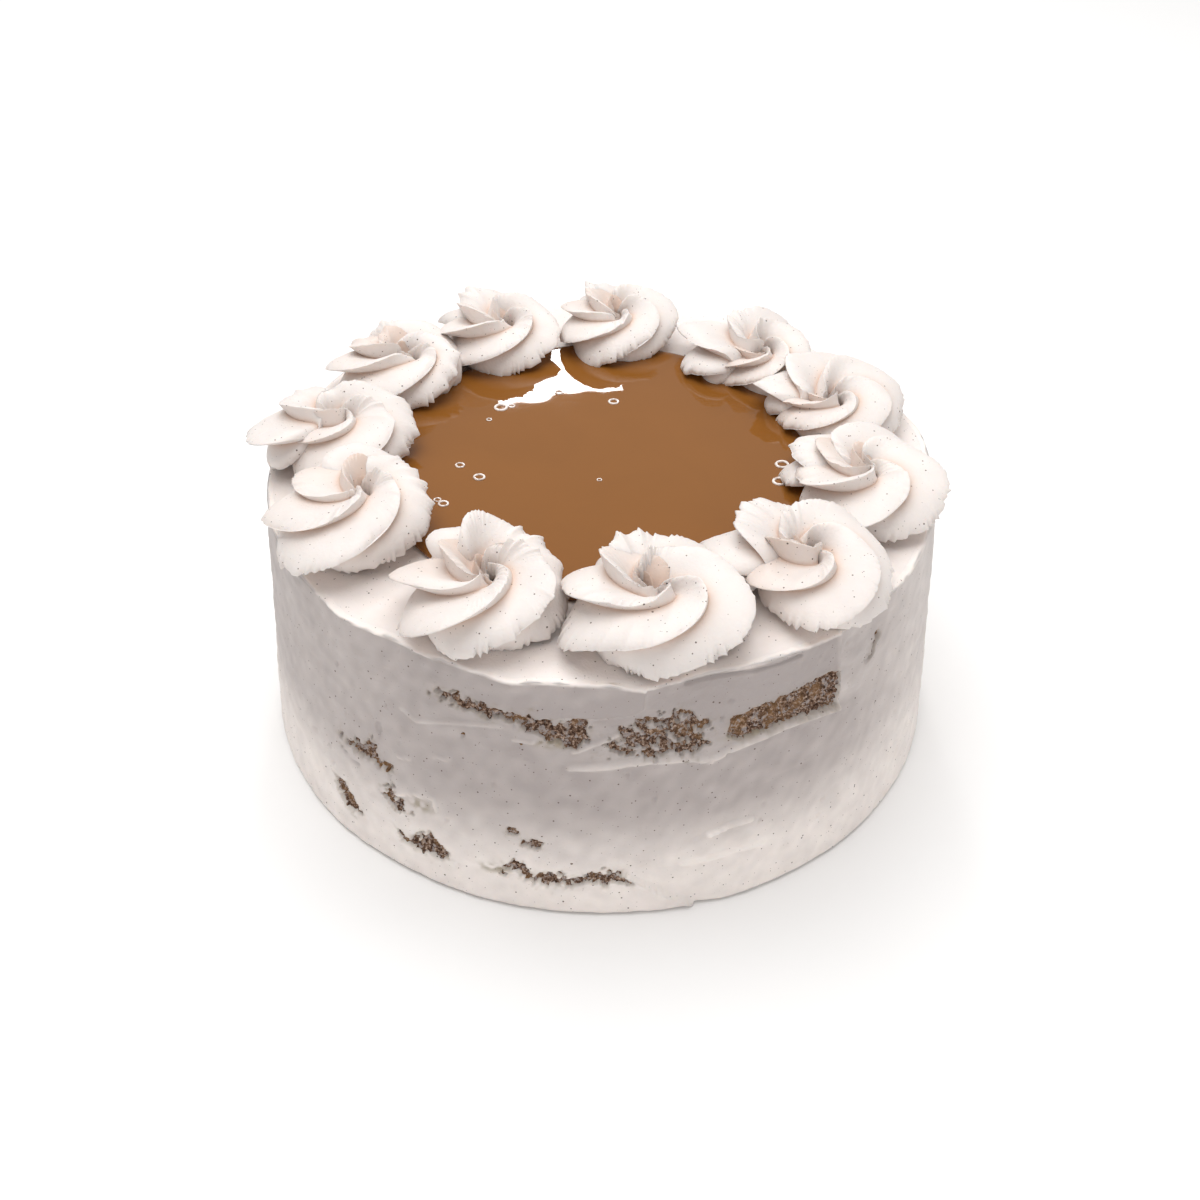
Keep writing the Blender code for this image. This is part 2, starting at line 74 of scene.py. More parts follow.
# Bare sponge on the side, each streak with how torn it is (0 clean, 1 torn, 2 only bits) and a row
# of stations: (azimuth in degrees, height of the streak's middle in mm, its thickness in mm)
STREAKS = (
    (1, ((-116, 76.4, 1.6), (-113, 76.2, 3), (-111, 75.4, 3.6), (-108.5, 74.8, 4.2), (-104.5, 74.6, 3.6),
         (-102.5, 75, 3.2), (-100.5, 73.8, 4.6), (-98.5, 71.6, 6), (-96.5, 70.4, 5.8), (-94.5, 70.2, 8.6),
         (-93.2, 70.6, 10.2), (-92, 71.6, 5))),
    (1.8, ((-88.4, 65.6, 3.5), (-87, 68.2, 9), (-85, 69.2, 11.6), (-80.5, 69.2, 13.4), (-78, 69.2, 14),
           (-76, 68, 12.6), (-74.2, 66.4, 8.4))),
    (0.45, ((-70, 67.2, 6.2), (-68.5, 66.9, 8.8), (-66, 67.6, 9.4), (-62.5, 67.8, 9.8), (-59, 68.4, 11),
            (-55, 68.5, 12.6), (-52.5, 68.2, 13.6), (-50.4, 66.6, 12))),
    (1.2, ((-136, 38.8, 1.4), (-134, 39.6, 1.4), (-131.5, 39.8, 2), (-129.2, 42.4, 6.4), (-128, 43, 7.4),
           (-127, 40.4, 6), (-125.6, 39, 3), (-124.2, 39.3, 1.4))),
    (0.8, ((-137.6, 19.6, 3), (-136.2, 17.6, 7.4), (-134.8, 16.3, 8.6), (-133.4, 15, 7), (-132, 13.9, 3))),
    (1.8, ((-125.3, 28.8, 2.6), (-124.4, 27.8, 5.4), (-123.4, 27, 5.6), (-122.8, 26.4, 3))),
    (0.9, ((-123.2, 14.8, 1.2), (-121.5, 13.8, 2), (-120, 14.4, 4.2), (-118.3, 15.8, 7), (-117, 17, 9.2),
           (-116, 16, 6.8), (-115, 14.8, 3.8), (-114, 14.2, 1.4))),
    (1, ((-104.8, 16.4, 1.6), (-102.8, 17.4, 4.4), (-101.8, 16.4, 5), (-100.4, 14.2, 3.4), (-98.4, 13.5, 3),
         (-96, 14, 4.4), (-93.6, 14.6, 2.2), (-91.6, 15.4, 2.2), (-89, 15.6, 5.2), (-87.6, 15.6, 3),
         (-85.2, 14.4, 1))),
    (0.6, ((-101.6, 27.7, 1.2), (-100.8, 27.4, 2.2), (-99.8, 26.9, 2.2), (-99, 27.1, 1.2))),
    (0.6, ((-103.6, 31, 1.4), (-102.8, 31.1, 1.4))),
    (0.7, ((-42.2, 71, 1.8), (-41.5, 73.5, 7), (-40.8, 76, 1.8))),
    (1, ((20, 70, 3), (25, 69.4, 6.4), (31, 70.4, 7.6), (37, 71.6, 6), (42, 73, 2))),
    (1.2, ((84, 74.4, 1.2), (90, 73, 3.6), (96, 72, 7.2), (101, 71.2, 4))),
    (1.2, ((131, 43, 1.6), (135, 41.4, 4.4), (139.5, 40.4, 2))),
    (1, ((54, 16, 1.4), (59, 15, 4.6), (65, 14.2, 2.6), (71, 15.2, 1.4))),
    (0.8, ((163, 66.4, 2.4), (169, 67.4, 6.8), (175, 66, 3.4))),
)
MM_PER_DEGREE = 1.88  # arc length on the side
CRUMB_RECESS = 0.95  # mm from the cream's surface down to the bare crumb
CRUMB_CELL = 0.42 * MM  # spacing of the crumb patches' points
CRUMB_MARGIN = 2.6  # mm that a crumb patch reaches past its streak, under the cream
CRUMB_ROOT = 0.93  # a patch's border is drawn back to this share of its radius
CREAM_DIP = 2.6  # mm that the coat dips behind the crumb

# Marks that the scraper left, each along a line of (azimuth, height in mm) points: how many mm the
# cream to the left of the line stands proud, the ridge (or groove) on the line in mm, its width in mm
SCRAPER_MARKS = (
    (((-94, 58.4), (-90, 59.2), (-82.7, 61), (-76, 59.8), (-73, 57.8), (-69.7, 60.3), (-61.3, 62.4),
      (-56.3, 62.2), (-50.3, 60)), -0.7, 1, 0.9),
    (((-100, 75.6), (-92.6, 77), (-90.6, 76.5), (-85.3, 78.6), (-83.6, 81), (-83.3, 90)), 1.2, 0.2, 0.6),
    (((-85, 15.6), (-80.1, 8.4), (-76.4, 3.4), (-74.4, -0.4)), -1.3, 0.7, 0.7),
    (((-72.7, 28.9), (-69.7, 30.4), (-65.8, 30.3)), -0.8, 1.1, 0.6),
    (((-76.6, 19.4), (-71.7, 19.6), (-67.6, 20.2), (-63.8, 19.3)), -0.55, 0.6, 0.9),
    (((-121.5, 64.8), (-119, 62.8), (-113.2, 67), (-105, 70.8)), -0.3, 0.5, 0.7),
    (((-102.5, 66.8), (-100, 66.5)), 0, 0.6, 0.6),
    (((-93.6, 64.2), (-91.1, 66.8), (-87.4, 71)), 0, 0.7, 0.7),
    (((-122.5, 46.3), (-120.6, 47.5)), 0, 0.6, 0.6),
    (((-115.7, 52.3), (-113.4, 53.4)), 0, 0.6, 0.6),
    (((-123.2, 31), (-119.6, 34.4), (-116.2, 35.6), (-115.8, 31.4)), 0, 0.7, 0.6),
    (((-135.7, 35.4), (-134.2, 33.9), (-131.8, 33.4)), 0, -0.6, 0.6),
    (((-77, 86.5), (-70, 86.6), (-64, 85.8), (-58.5, 86)), 0, -1, 0.5),
    (((-66, 44), (-60, 45.5), (-54, 45)), -0.1, 0.12, 0.8),
    (((-33, 50), (-22, 48), (-12, 49.5)), -0.2, 0.2, 0.9),
    (((28, 62), (36, 60.5), (47, 61.5)), -0.3, 0.35, 0.9),
    (((92, 63), (103, 61.5), (112, 63.5)), -0.3, 0.3, 1),
    (((140, 22), (150, 19.5), (158, 12)), -0.35, 0.3, 0.9),
    (((165, 58), (176, 56)), -0.2, 0.3, 0.7),
)
MARK_REACH = 8  # mm over which a mark fades on either side

# Upright corner where two strokes of the scraper met: it leans from the first azimuth and height
# in mm to the second, and past it the cream is lower by the step in mm
CORNER_HEIGHTS, CORNER_AZIMUTHS = (58, 87), (-49.6, -50.8)
CORNER_STEP, CORNER_RIDGE, CORNER_WIDTH = 0.9, 0.35, 0.8
CORNER_FADE = 30  # mm past the corner over which its step dies out
CORNER_FOOT = 57  # height in mm below which there is no corner

# Grey of the scraped coat, as a share: at the foot, and what it adds higher up, partly thinner cream and
# partly painted shade, as the side gets less light from the table towards the top
FOOT_GREY_SHADE, UPPER_GREY_SHADE = 0.06, 0.87
GREY_FROM, GREY_OVER = 12, 34  # height in mm where it starts to grow, and over how much
# Sectors painted lighter, as where the light wraps round the sides: (start, fade in, end, fade out in
# degrees, share)
LIT_SECTORS = ((-57, 32, 20, 20, 0.45), (-180, 25, -110, 30, 0.15))
# Places painted darker as shade: (azimuth, height in mm, half width in degrees, half height in mm, share)
SHADED_PLACES = ((-68, 80, 14, 12, 0.18), (-42, 76, 10, 12, 0.20))

# Places where the cream is thin enough for the crumb to tint it: (azimuth, height, half width, half
# height), all but the first in mm
THIN_PLACES = (
    (-118.6, 30.9, 4.6, 2.3), (-106.5, 14.8, 4.2, 1.8), (-66.5, 64.2, 8, 1.8), (-97, 66, 5, 1.5),
    (135, 47, 7, 3), (60, 21, 8, 3),
)

# Piped rosettes, clockwise from the back left, each piped by hand and unlike the others.
# azimuth: place round the cake; ring, width, height: mm; seed: its own random draws
# end: compass direction where the nozzle is pulled off; turns: length of the spiral
# twist: how far the star rolls over for each turn of the path; taper: mm over which the end thins
# lift: mm that the end rises; curl: height of the inner curl as a share of the whole
# lean: (x, y) mm that the hollow sits off the middle; phase: degrees that the star is turned
# rags: (compass direction, depth in mm) of the ruffled places
# valley: the star's inner radius as a share of its outer one; loop: the path's radius as a share
# of half the width; blade: how hollow the bands are; deep: how much deeper they are on the left
Rosette = namedtuple(
    "Rosette", "azimuth ring width height seed end turns twist taper lift curl lean phase rags "
    "valley loop blade deep", defaults=(0.62, 0.50, 2.4, 0.35))
ROSETTES = (
    Rosette(118.2, 79, 45.5, 18.5, 9, 170, 1.35, 0.8, 7, 0, 0.7, (2, 3), 3, ((-45, 0.9), (140, 1.6))),
    Rosette(86, 77, 43.5, 18, 17, 150, 1.3, 1, 7, 2, 1, (0, 3), 50, ((125, 1.6), (-70, 0.8))),
    Rosette(50.5, 76.5, 46, 16.5, 14, 230, 1.3, 0.9, 7, 0, 0.6, (3, 0), 45, ((-60, 0.9), (110, 1.5)), 0.56),
    Rosette(21.5, 80, 52, 17, 31, 200, 1.3, 1, 7, 0, 0.6, (-1, -1), 50, ((-170, 1.4), (-100, 0.8))),
    Rosette(-14.4, 83, 54, 18.5, 40, 190, 1.4, 0.9, 7, 0, 1, (0, 2), 40, ((170, 1.5), (-45, 0.8)),
            loop=0.46, deep=0.2),
    Rosette(-48.2, 84, 56, 19, 21, 210, 1.3, 0.8, 7, 0, 0.8, (-1, 4), 20, ((130, 1.4), (-110, 0.7)),
            blade=3),
    Rosette(-79.6, 84, 52.5, 23, 19, 150, 1.4, 0.8, 6, 1, 1, (-4, 2), 50, ((105, 2), (-130, 0.7)), 0.68,
            blade=3),
    Rosette(-114.2, 82.5, 52.5, 21.5, 9, 150, 1.25, 0.9, 7, 0, 0.8, (1, 3), 20, ((30, 2.4), (-60, 1))),
    Rosette(-151.2, 85.5, 54, 21.5, 5, 150, 1.3, 0.9, 7, 0, 1, (3, 6), 55, ((15, 2), (-80, 0.8)),
            0.68, 0.46, deep=0.1),
    Rosette(178.8, 85.5, 51, 21.5, 2, 240, 1.4, 0.8, 5, 3, 0.6, (0, 6), 33, ((0, 1.9), (120, 1.4)),
            loop=0.46, deep=0.1),
    Rosette(148.1, 83.5, 47.5, 19.5, 12, 140, 1.25, 1, 4, -3, 1, (2, 3), 20, ((-15, 2), (140, 1.5)),
            blade=1.8),
)

CURL_START = 3.2  # mm from the hollow's middle to where the nozzle starts
CURL_SIZE = 0.6  # the rope's first size, as a share of its full size
CURL_TURNS = 0.6  # turns over which the path swings out from the curl to the loop
OPENING = 6  # mm of path over which the rope opens at its start
STEEP_SIDE = 0.25  # share of each star tooth that is its steep outer side
LIP_START = 0.87  # share of a crest's depth above which it is a blunt lip
UNDERCUT = 0.32  # radians that the crests hang over
EDGE_BLUR = np.array([1, 4, 6, 4, 1]) / 16
RAG_SPREAD = 22  # degrees round the rosette on either side of a ragged place
STAR_POINTS = 5  # ridges of the nozzle's star that show
ROPE_ROWS, POINT_COLUMNS = 420, 25
CENTRE_HEIGHT = 0.43  # height of the rope's middle as a share of the rosette's height
SINK = 0.2 * MM  # the rosettes settle this far into the cream top
Path = namedtuple("Path", "x y side travelled left_over swing rope width ends last_turn")
Star = namedtuple("Star", "crest nearness overhang compass owner")

# Relief as sums of ripples: (height in mm, wavelength in mm, seed, how stretched round the cake)
SCRAPED_WAVES = ((0.10, 22, 41, 0.5), (0.06, 3.2, 42, 0.3), (0.05, 5, 44, 1), (0.025, 2.0, 43, 1))
TOP_WAVES = ((0.18, 26, 61, 1), (0.05, 4, 62, 1))
RIM_WAVES = ((0.25, 9, 71, 1), (0.08, 2.6, 72, 1))
CRUMB_WAVES = ((0.26, 1.9, 91, 1), (0.18, 0.95, 92, 1))
GREY_WAVES = ((0.03, 12, 81, 1), (0.03, 5, 83, 1))
CARAMEL_WAVES = ((0.016, 34, 101, 1), (0.003, 11, 102, 1))

# Rows of the side between heights in mm: (up to this height, how many)
SIDE_BANDS = ((12, 10), (32, 33), (58, 24), (80, 38))
RIM_ROWS = 12
FINE_FROM, FINE_TO = -142, -36  # degrees between which the side's columns stand close
FINE_COLUMNS, OTHER_COLUMNS = 440, 320

# Places where the caramel's skin wrinkled before it set: (x, y, radius in mm)
WRINKLES = ((44, 31, 11), (-52, 24, 8), (30, -46, 8))

# Bubbles that burst on the caramel: (x, y, radius in mm)
BUBBLES = (
    (-45, -6, 1.3), (-38.5, -12.5, 1.6), (-0.9, -13.2, 0.7), (-37.5, 21, 0.8), (-34, 28.5, 1.9),
    (-30.5, 29.5, 1), (3.5, 33, 1.5), (-15, 38.5, 1.2), (-48.5, -27, 1.4), (-50.5, -25, 1), (57, -3.5, 1.9),
    (55.5, -13, 2), (58.5, -10, 1.2),
)
BUBBLE_WALL = 0.24  # thickness of a bubble's rim as a share of its radius

# Camera fitted to the photograph's view of the rim and the foot, its turn in degrees
LENS, SENSOR = 48.0, 36.0
CAMERA_PLACE = (0, -426.4 * MM, 374.9 * MM)
CAMERA_TURN = (51.2005, -0.4851, 0.4326)
FLOOR_REACH = 6.0  # metres from the cake to each side of the studio floor


def linear(hex_colour):
    """sRGB hex to the linear red, green and blue that shaders take."""
    channels = [int(hex_colour[i:i + 2], 16) / 255 for i in (1, 3, 5)]
    return [c / 12.92 if c <= 0.04045 else ((c + 0.055) / 1.055) ** 2.4 for c in channels]


def colour_property(name, description, hex_colour):
    return FloatVectorProperty(
        name=name, description=description, subtype="COLOR", size=3, min=0, max=1,
        default=linear(hex_colour))


def length_property(name, description, value):
    return FloatProperty(
        name=name, description=description, default=value, min=0, unit="LENGTH", subtype="DISTANCE")


class CakeSizes(PropertyGroup):
    cake_height: length_property("Cake height", "Underside to the flat of the cream top", 88 * MM)
    top_radius: length_property("Top radius", "Cream side at the rim", 106 * MM)
    foot_radius: length_property("Foot radius", "Cream side at the foot", 111.5 * MM)
    coat_lift: length_property("Coat lift", "Cream's lower edge above the table", 0.5 * MM)
    side_coat: length_property("Side coat", "Thickness of the cream on the side", 5 * MM)
    top_coat: length_property("Top coat", "Thickness of the cream on top", 4.5 * MM)
    rim_round: length_property("Rim round", "Radius of the rim between side and top", 1.1 * MM)
    pool_radius: length_property("Pool radius", "Caramel's outline under the rosettes", 72 * MM)


class CakeColours(PropertyGroup):
    cream: colour_property("Cream", "Whipped mocha cream where it is thick", "#F4EBE5")
    top_cream: colour_property("Top cream", "Cream spread on the top, a little denser", "#EDE4DF")
    piped_cream: colour_property("Piped cream", "Fresh cream of the rosettes", "#E6DED9")
    # Thin cream: also the colour of the painted shade laid over the scraped side
    thin_cream_and_shade: colour_property("Thin cream", "Scraped cream with the crumb behind it", "#A99F9C")
    # painted shade: the warm dark colour laid deep in the rosettes' grooves and hollows
    groove_shade: colour_property("Groove", "Cream deep in the grooves, warmed by its own light", "#CEAC95")
    stain: colour_property("Stain", "Crumb that shows through a film of cream", "#93866F")
    speck: colour_property("Speck", "Cocoa specks in the cream", "#66564E")
    caramel: colour_property("Caramel", "Caramel glaze", "#885623")
    # painted shade in the sponge's pores
    pore_shade: colour_property("Dark crumb", "Pores of the sponge", "#3A281F")
    crumb: colour_property("Crumb", "Body of the sponge", "#7C6150")
    crumb_light: colour_property("Light crumb", "Raised crumbs with cream on them", "#C6B09F")
    crumb_gold: colour_property("Golden crumb", "Moist crumb where the light catches it", "#8C6A48")
    floor: colour_property("Floor", "Studio floor", "#F4F3F2")


def smooth(x):
    """Soft step: 0 below 0, 1 above 1, level at both ends."""
    x = np.clip(x, 0, 1)
    return x * x * (3 - 2 * x)


def ripples(points, wavelength, seed, waves=26):
    """Even random relief of about one wavelength and unit spread at an array of points.

    It is a sum of plane waves that run in random directions, so it has no seam anywhere.
    """
    rng = np.random.default_rng(seed)
    directions = rng.normal(size=(waves, 3))
    directions /= np.linalg.norm(directions, axis=1)[:, None]
    numbers = 2 * math.pi / (wavelength * rng.uniform(0.7, 1.4, waves))
    phases = rng.uniform(0, 2 * math.pi, waves)
    total = np.zeros(points.shape[:-1])
    for direction, number, phase in zip(directions, numbers, phases):
        total += np.cos(points @ (direction * number) + phase)
    return total * math.sqrt(2 / waves)


def relief(points, waves):
    """Sum of ripples in mm: each wave is (height, wavelength, seed, stretch round the cake)."""
    return sum(height * ripples(points * np.array([stretch, stretch, 1.0]), size * MM, seed)
               for height, size, seed, stretch in waves)


def grid_faces(rows, columns, wrap_rows=False, wrap_columns=True):
    """Quads of a grid whose rows or columns wrap round if wanted."""
    row = np.arange(rows if wrap_rows else rows - 1)[:, None]
    column = np.arange(columns if wrap_columns else columns - 1)[None]
    after = (row + 1) % rows
    beside = (column + 1) % columns
    corners = (row * columns + column, row * columns + beside, after * columns + beside,
               after * columns + column)
    return np.stack(corners, axis=-1).reshape(-1, 4)


def ring_body(points):
    """A grid that wraps both ways, such as a thick ring: vertices, quads, triangles."""
    rows, columns = points.shape[:2]
    return points.reshape(-1, 3), grid_faces(rows, columns, True), np.empty((0, 3), int)


def capped_body(points, first, last):
    """A grid whose columns wrap and whose first and last rows close on a point each."""
    rows, columns = points.shape[:2]
    start = np.arange(columns)
    end = start + (rows - 1) * columns
    tip = np.full(columns, rows * columns)
    fans = np.concatenate([np.stack([np.roll(start, -1), start, tip], axis=-1),
                           np.stack([end, np.roll(end, -1), tip + 1], axis=-1)])
    vertices = np.concatenate([points.reshape(-1, 3), [first], [last]])
    return vertices, grid_faces(rows, columns), fans


def signed_volume(vertices, quads, triangles):
    halves = np.concatenate([quads[:, [0, 1, 2]], quads[:, [0, 2, 3]], triangles])
    a, b, c = (vertices[halves[:, i]] for i in range(3))
    return np.einsum("ij,ij->i", a, np.cross(b, c)).sum() / 6


def outward(body):
    """The same body with its faces turned to point out."""
    vertices, quads, triangles = body
    centred = vertices - vertices.mean(axis=0)
    if signed_volume(centred, quads, triangles) < 0:
        return vertices, quads[:, ::-1], triangles[:, ::-1]
    return body


def new_piece(name, bodies, material, nodes, attributes=None):
    """Join closed bodies into one smooth mesh that stands for the named solids."""
    bodies = [outward(body) for body in bodies]
    vertices = np.concatenate([body[0] for body in bodies])
    offsets = np.cumsum([0] + [len(body[0]) for body in bodies])
    quads, triangles = (np.concatenate([body[kind] + offset for body, offset in zip(bodies, offsets)])
                        for kind in (1, 2))
    corners = np.concatenate([quads.ravel(), triangles.ravel()]).astype(np.int32)
    starts = np.concatenate([
        np.arange(len(quads)) * 4, len(quads) * 4 + np.arange(len(triangles)) * 3]).astype(np.int32)
    mesh = bpy.data.meshes.new(name)
    mesh.vertices.add(len(vertices))
    mesh.vertices.foreach_set("co", vertices.astype(np.float32).ravel())
    mesh.loops.add(len(corners))
    mesh.loops.foreach_set("vertex_index", corners)
    mesh.polygons.add(len(starts))
    mesh.polygons.foreach_set("loop_start", starts)
    mesh.update(calc_edges=True)
    mesh.validate()
    mesh.shade_smooth()
    for label, values in (attributes or {}).items():
        layer = mesh.attributes.new(label, "FLOAT", "POINT")
        layer.data.foreach_set("value", values.astype(np.float32).ravel())
    piece = bpy.data.objects.new(name, mesh)
    bpy.context.scene.collection.objects.link(piece)
    mesh.materials.append(material)
    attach(piece, "root")
    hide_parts(*nodes)
    return piece


def new_material(name, settings):
    """A Principled material with its shader's settings: the material, its node tree, its shader."""
    material = bpy.data.materials.new(name)
    material.use_nodes = True
    shader = material.node_tree.nodes["Principled BSDF"]
    for socket, value in settings.items():
        shader.inputs[socket].default_value = value
    return material, material.node_tree, shader


def add_node(tree, kind, settings=None, links=None):
    """Add a node, set its properties and sockets, and link sockets to other nodes' outputs.

    A setting whose name is an input socket sets that socket; a link is (node, output name).
    """
    node = tree.nodes.new(kind)
    for key, value in (settings or {}).items():
        if isinstance(key, str) and hasattr(node, key):
            setattr(node, key, value)
        else:
            node.inputs[key].default_value = value
    for key, (source, output) in (links or {}).items():
        tree.links.new(source.outputs[output], node.inputs[key])
    return node


def colours():
    return bpy.context.scene.cake_colours


def opaque(colour):
    return (*colour, 1.0)


def lay_colours(tree, shader, ground, layers, base=None):
    """Lay each (mask, colour) over those before it where its mask is white, and colour the shader.

    The first lies on the ground colour, or on a base. Masks and base are (node, output).
    """
    for mask, colour in layers:
        mix = add_node(tree, "ShaderNodeMix",
                       {"data_type": "RGBA", 6: opaque(ground), 7: opaque(colour)},
                       {0: mask, **({6: base} if base else {})})
        base = (mix, 2)
    tree.links.new(mix.outputs[2], shader.inputs["Base Color"])


def speck_mask(tree, place, cell, radius):
    """White where cocoa specks are: spheres of about the radius, one in each cell, sizes mixed."""
    cells = add_node(tree, "ShaderNodeTexVoronoi", {"Scale": 1 / cell}, place)
    size = add_node(tree, "ShaderNodeMapRange",
                    {"To Min": 0.25 * radius / cell, "To Max": radius / cell},
                    {"Value": (cells, "Color")})
    gap = add_node(tree, "ShaderNodeMath", {"operation": "SUBTRACT"},
                   {0: (size, "Result"), 1: (cells, "Distance")})
    mask = add_node(tree, "ShaderNodeMapRange", {"From Max": 0.25 * radius / cell},
                    {"Value": (gap, "Value")})
    return mask, "Result"


def cream_material(name, body, roughness, scraped=False, layers=()):
    """Whipped cream, piped or scraped: dense fat foam, so a soft satin skin with light inside it.

    Small air bubbles give a fine matt grain, and cocoa gives soft brown specks 0.3 to 0.8 mm wide.
    Each layer is (attribute, colour): the mesh says where that colour shows, such as the grey of
    scraped cream with the crumb behind it mixed with painted shade, or painted shade in the grooves.
    """
    shade = colours()
    material, tree, shader = new_material(name, {
        "Roughness": roughness, "Subsurface Weight": 0.2, "Subsurface Radius": (1.0, 0.7, 0.5),
        "Subsurface Scale": 1.5 * MM})
    place = {"Vector": (add_node(tree, "ShaderNodeTexCoord"), "Object")}
    coloured = []
    for size, most in ((22 * MM, 0.14), (5 * MM, 0.10 if scraped else 0.05)):
        cloud = add_node(tree, "ShaderNodeTexNoise", {"Scale": 1 / size, "Detail": 3.0}, place)
        tint = add_node(tree, "ShaderNodeMapRange",
                        {"From Min": 0.35, "From Max": 0.65, "To Max": most},
                        {"Value": (cloud, "Fac")})
        coloured.append(((tint, "Result"), shade.thin_cream_and_shade))
    for label, colour in layers:
        layer = add_node(tree, "ShaderNodeAttribute", {"attribute_name": label})
        coloured.append(((layer, "Fac"), colour))
    for cell, radius in ((2.4 * MM, 0.38 * MM), (1.6 * MM, 0.18 * MM)):
        coloured.append((speck_mask(tree, place, cell, radius), shade.speck))
    lay_colours(tree, shader, body, coloured)
    grain = add_node(tree, "ShaderNodeTexNoise", {"Scale": 1 / (0.9 * MM)}, place)
    skin = add_node(tree, "ShaderNodeBump", {"Strength": 0.6, "Distance": 0.2 * MM},
                    {"Height": (grain, "Fac")})
    if scraped:
        flat = add_node(tree, "ShaderNodeVectorMath", {"operation": "MULTIPLY", 1: (0.35, 0.35, 1.0)},
                        {0: place["Vector"]})
        drag = add_node(tree, "ShaderNodeTexNoise",
                        {"Scale": 1 / (2.2 * MM), "Detail": 3.0, "Roughness": 0.6},
                        {"Vector": (flat, "Vector")})
        skin = add_node(tree, "ShaderNodeBump", {"Strength": 0.5, "Distance": 0.35 * MM},
                        {"Height": (drag, "Fac"), "Normal": (skin, "Normal")})
    tree.links.new(skin.outputs["Normal"], shader.inputs["Normal"])
    return material


def sponge_material():
    """Chocolate sponge: an open dry crumb, so fully matt, with pale crumb edges and pores painted dark as
    shade.

    Smears of cream are left on it in bits about 2 mm across.
    """
    shade = colours()
    material, tree, shader = new_material(
        "chocolate sponge crumb", {"Roughness": 0.95, "Specular IOR Level": 0.2})
    place = {"Vector": (add_node(tree, "ShaderNodeTexCoord"), "Object")}
    crumb = add_node(tree, "ShaderNodeTexNoise",
                     {"Scale": 1 / (0.9 * MM), "Detail": 3.0, "Roughness": 0.65}, place)
    ramp = add_node(tree, "ShaderNodeValToRGB", None, {"Fac": (crumb, "Fac")})
    stops = ramp.color_ramp.elements
    # painted shade: the low end of the noise that also sets the bump, the pores, is dark
    stops[0].position, stops[0].color = 0.38, opaque(shade.pore_shade)
    stops[1].position, stops[1].color = 0.54, opaque(shade.crumb)
    stops.new(0.66).color = opaque(shade.crumb_light)
    coloured = []
    for colour, size, detail, roughness, low, high, most in (
            (shade.crumb_gold, 7 * MM, 2.0, 0.5, 0.50, 0.66, 0.6),
            (shade.thin_cream_and_shade, 2 * MM, 3.0, 0.7, 0.54, 0.60, 0.8)):
        bits = add_node(tree, "ShaderNodeTexNoise",
                        {"Scale": 1 / size, "Detail": detail, "Roughness": roughness}, place)
        share = add_node(tree, "ShaderNodeMapRange",
                         {"From Min": low, "From Max": high, "To Max": most}, {"Value": (bits, "Fac")})
        coloured.append(((share, "Result"), colour))
    lay_colours(tree, shader, shade.crumb, coloured, (ramp, "Color"))
    rough = add_node(tree, "ShaderNodeBump", {"Strength": 0.7, "Distance": 0.3 * MM},
                     {"Height": (crumb, "Fac")})
    tree.links.new(rough.outputs["Normal"], shader.inputs["Normal"])
    return material


def caramel_material():
    """Poured caramel glaze: sugar and cream set level, opaque brown under a mirror-like skin."""
    shade = colours()
    material, tree, shader = new_material("caramel glaze", {"Roughness": 0.015, "IOR": 1.5})
    place = {"Vector": (add_node(tree, "ShaderNodeTexCoord"), "Object")}
    flow = add_node(tree, "ShaderNodeTexNoise",
                    {"Scale": 1 / (30 * MM), "Detail": 4.0, "Distortion": 0.6}, place)
    deep = [0.86 * c for c in shade.caramel]
    lay_colours(tree, shader, deep, [((flow, "Fac"), shade.caramel)])
    return material


def bubble_material():
    """Rim of a burst bubble: a thin wet film, glossy, and painted pale for the ring of highlight that it
    shows.
    """
    material, tree, shader = new_material("caramel bubble film", {"Roughness": 0.1})
    place = {"Vector": (add_node(tree, "ShaderNodeTexCoord"), "Object")}
    foam = add_node(tree, "ShaderNodeTexNoise", {"Scale": 1 / (1.2 * MM)}, place)
    # painted highlight: the rim is mostly cream-pale
    painted_highlight = add_node(tree, "ShaderNodeMapRange",
                    {"From Min": 0.30, "From Max": 0.50, "To Min": 0.3},
                    {"Value": (foam, "Fac")})
    lay_colours(tree, shader, colours().caramel, [((painted_highlight, "Result"), colours().cream)])
    return material


def rim_bulge(azimuth, z):
    """How far in metres the scraped cream stands proud or short of the plain cone."""
    height = bpy.context.scene.cake_sizes.cake_height
    bulge = 0
    for centre, size, half_width in RIM_BULGES:
        away = (azimuth - centre + 180) % 360 - 180
        bulge = bulge + size * MM * np.exp(-(away / half_width) ** 2)
    return bulge * np.clip((z - height) / BULGE_FADE + 1, 0, 1)


def side_radius(azimuth, z):
    """Radius of the cream's side before its fine relief: a cone with the rim's bulges."""
    sizes = bpy.context.scene.cake_sizes
    cone = sizes.foot_radius + (sizes.top_radius - sizes.foot_radius) * z / sizes.cake_height
    return cone + rim_bulge(azimuth, z)


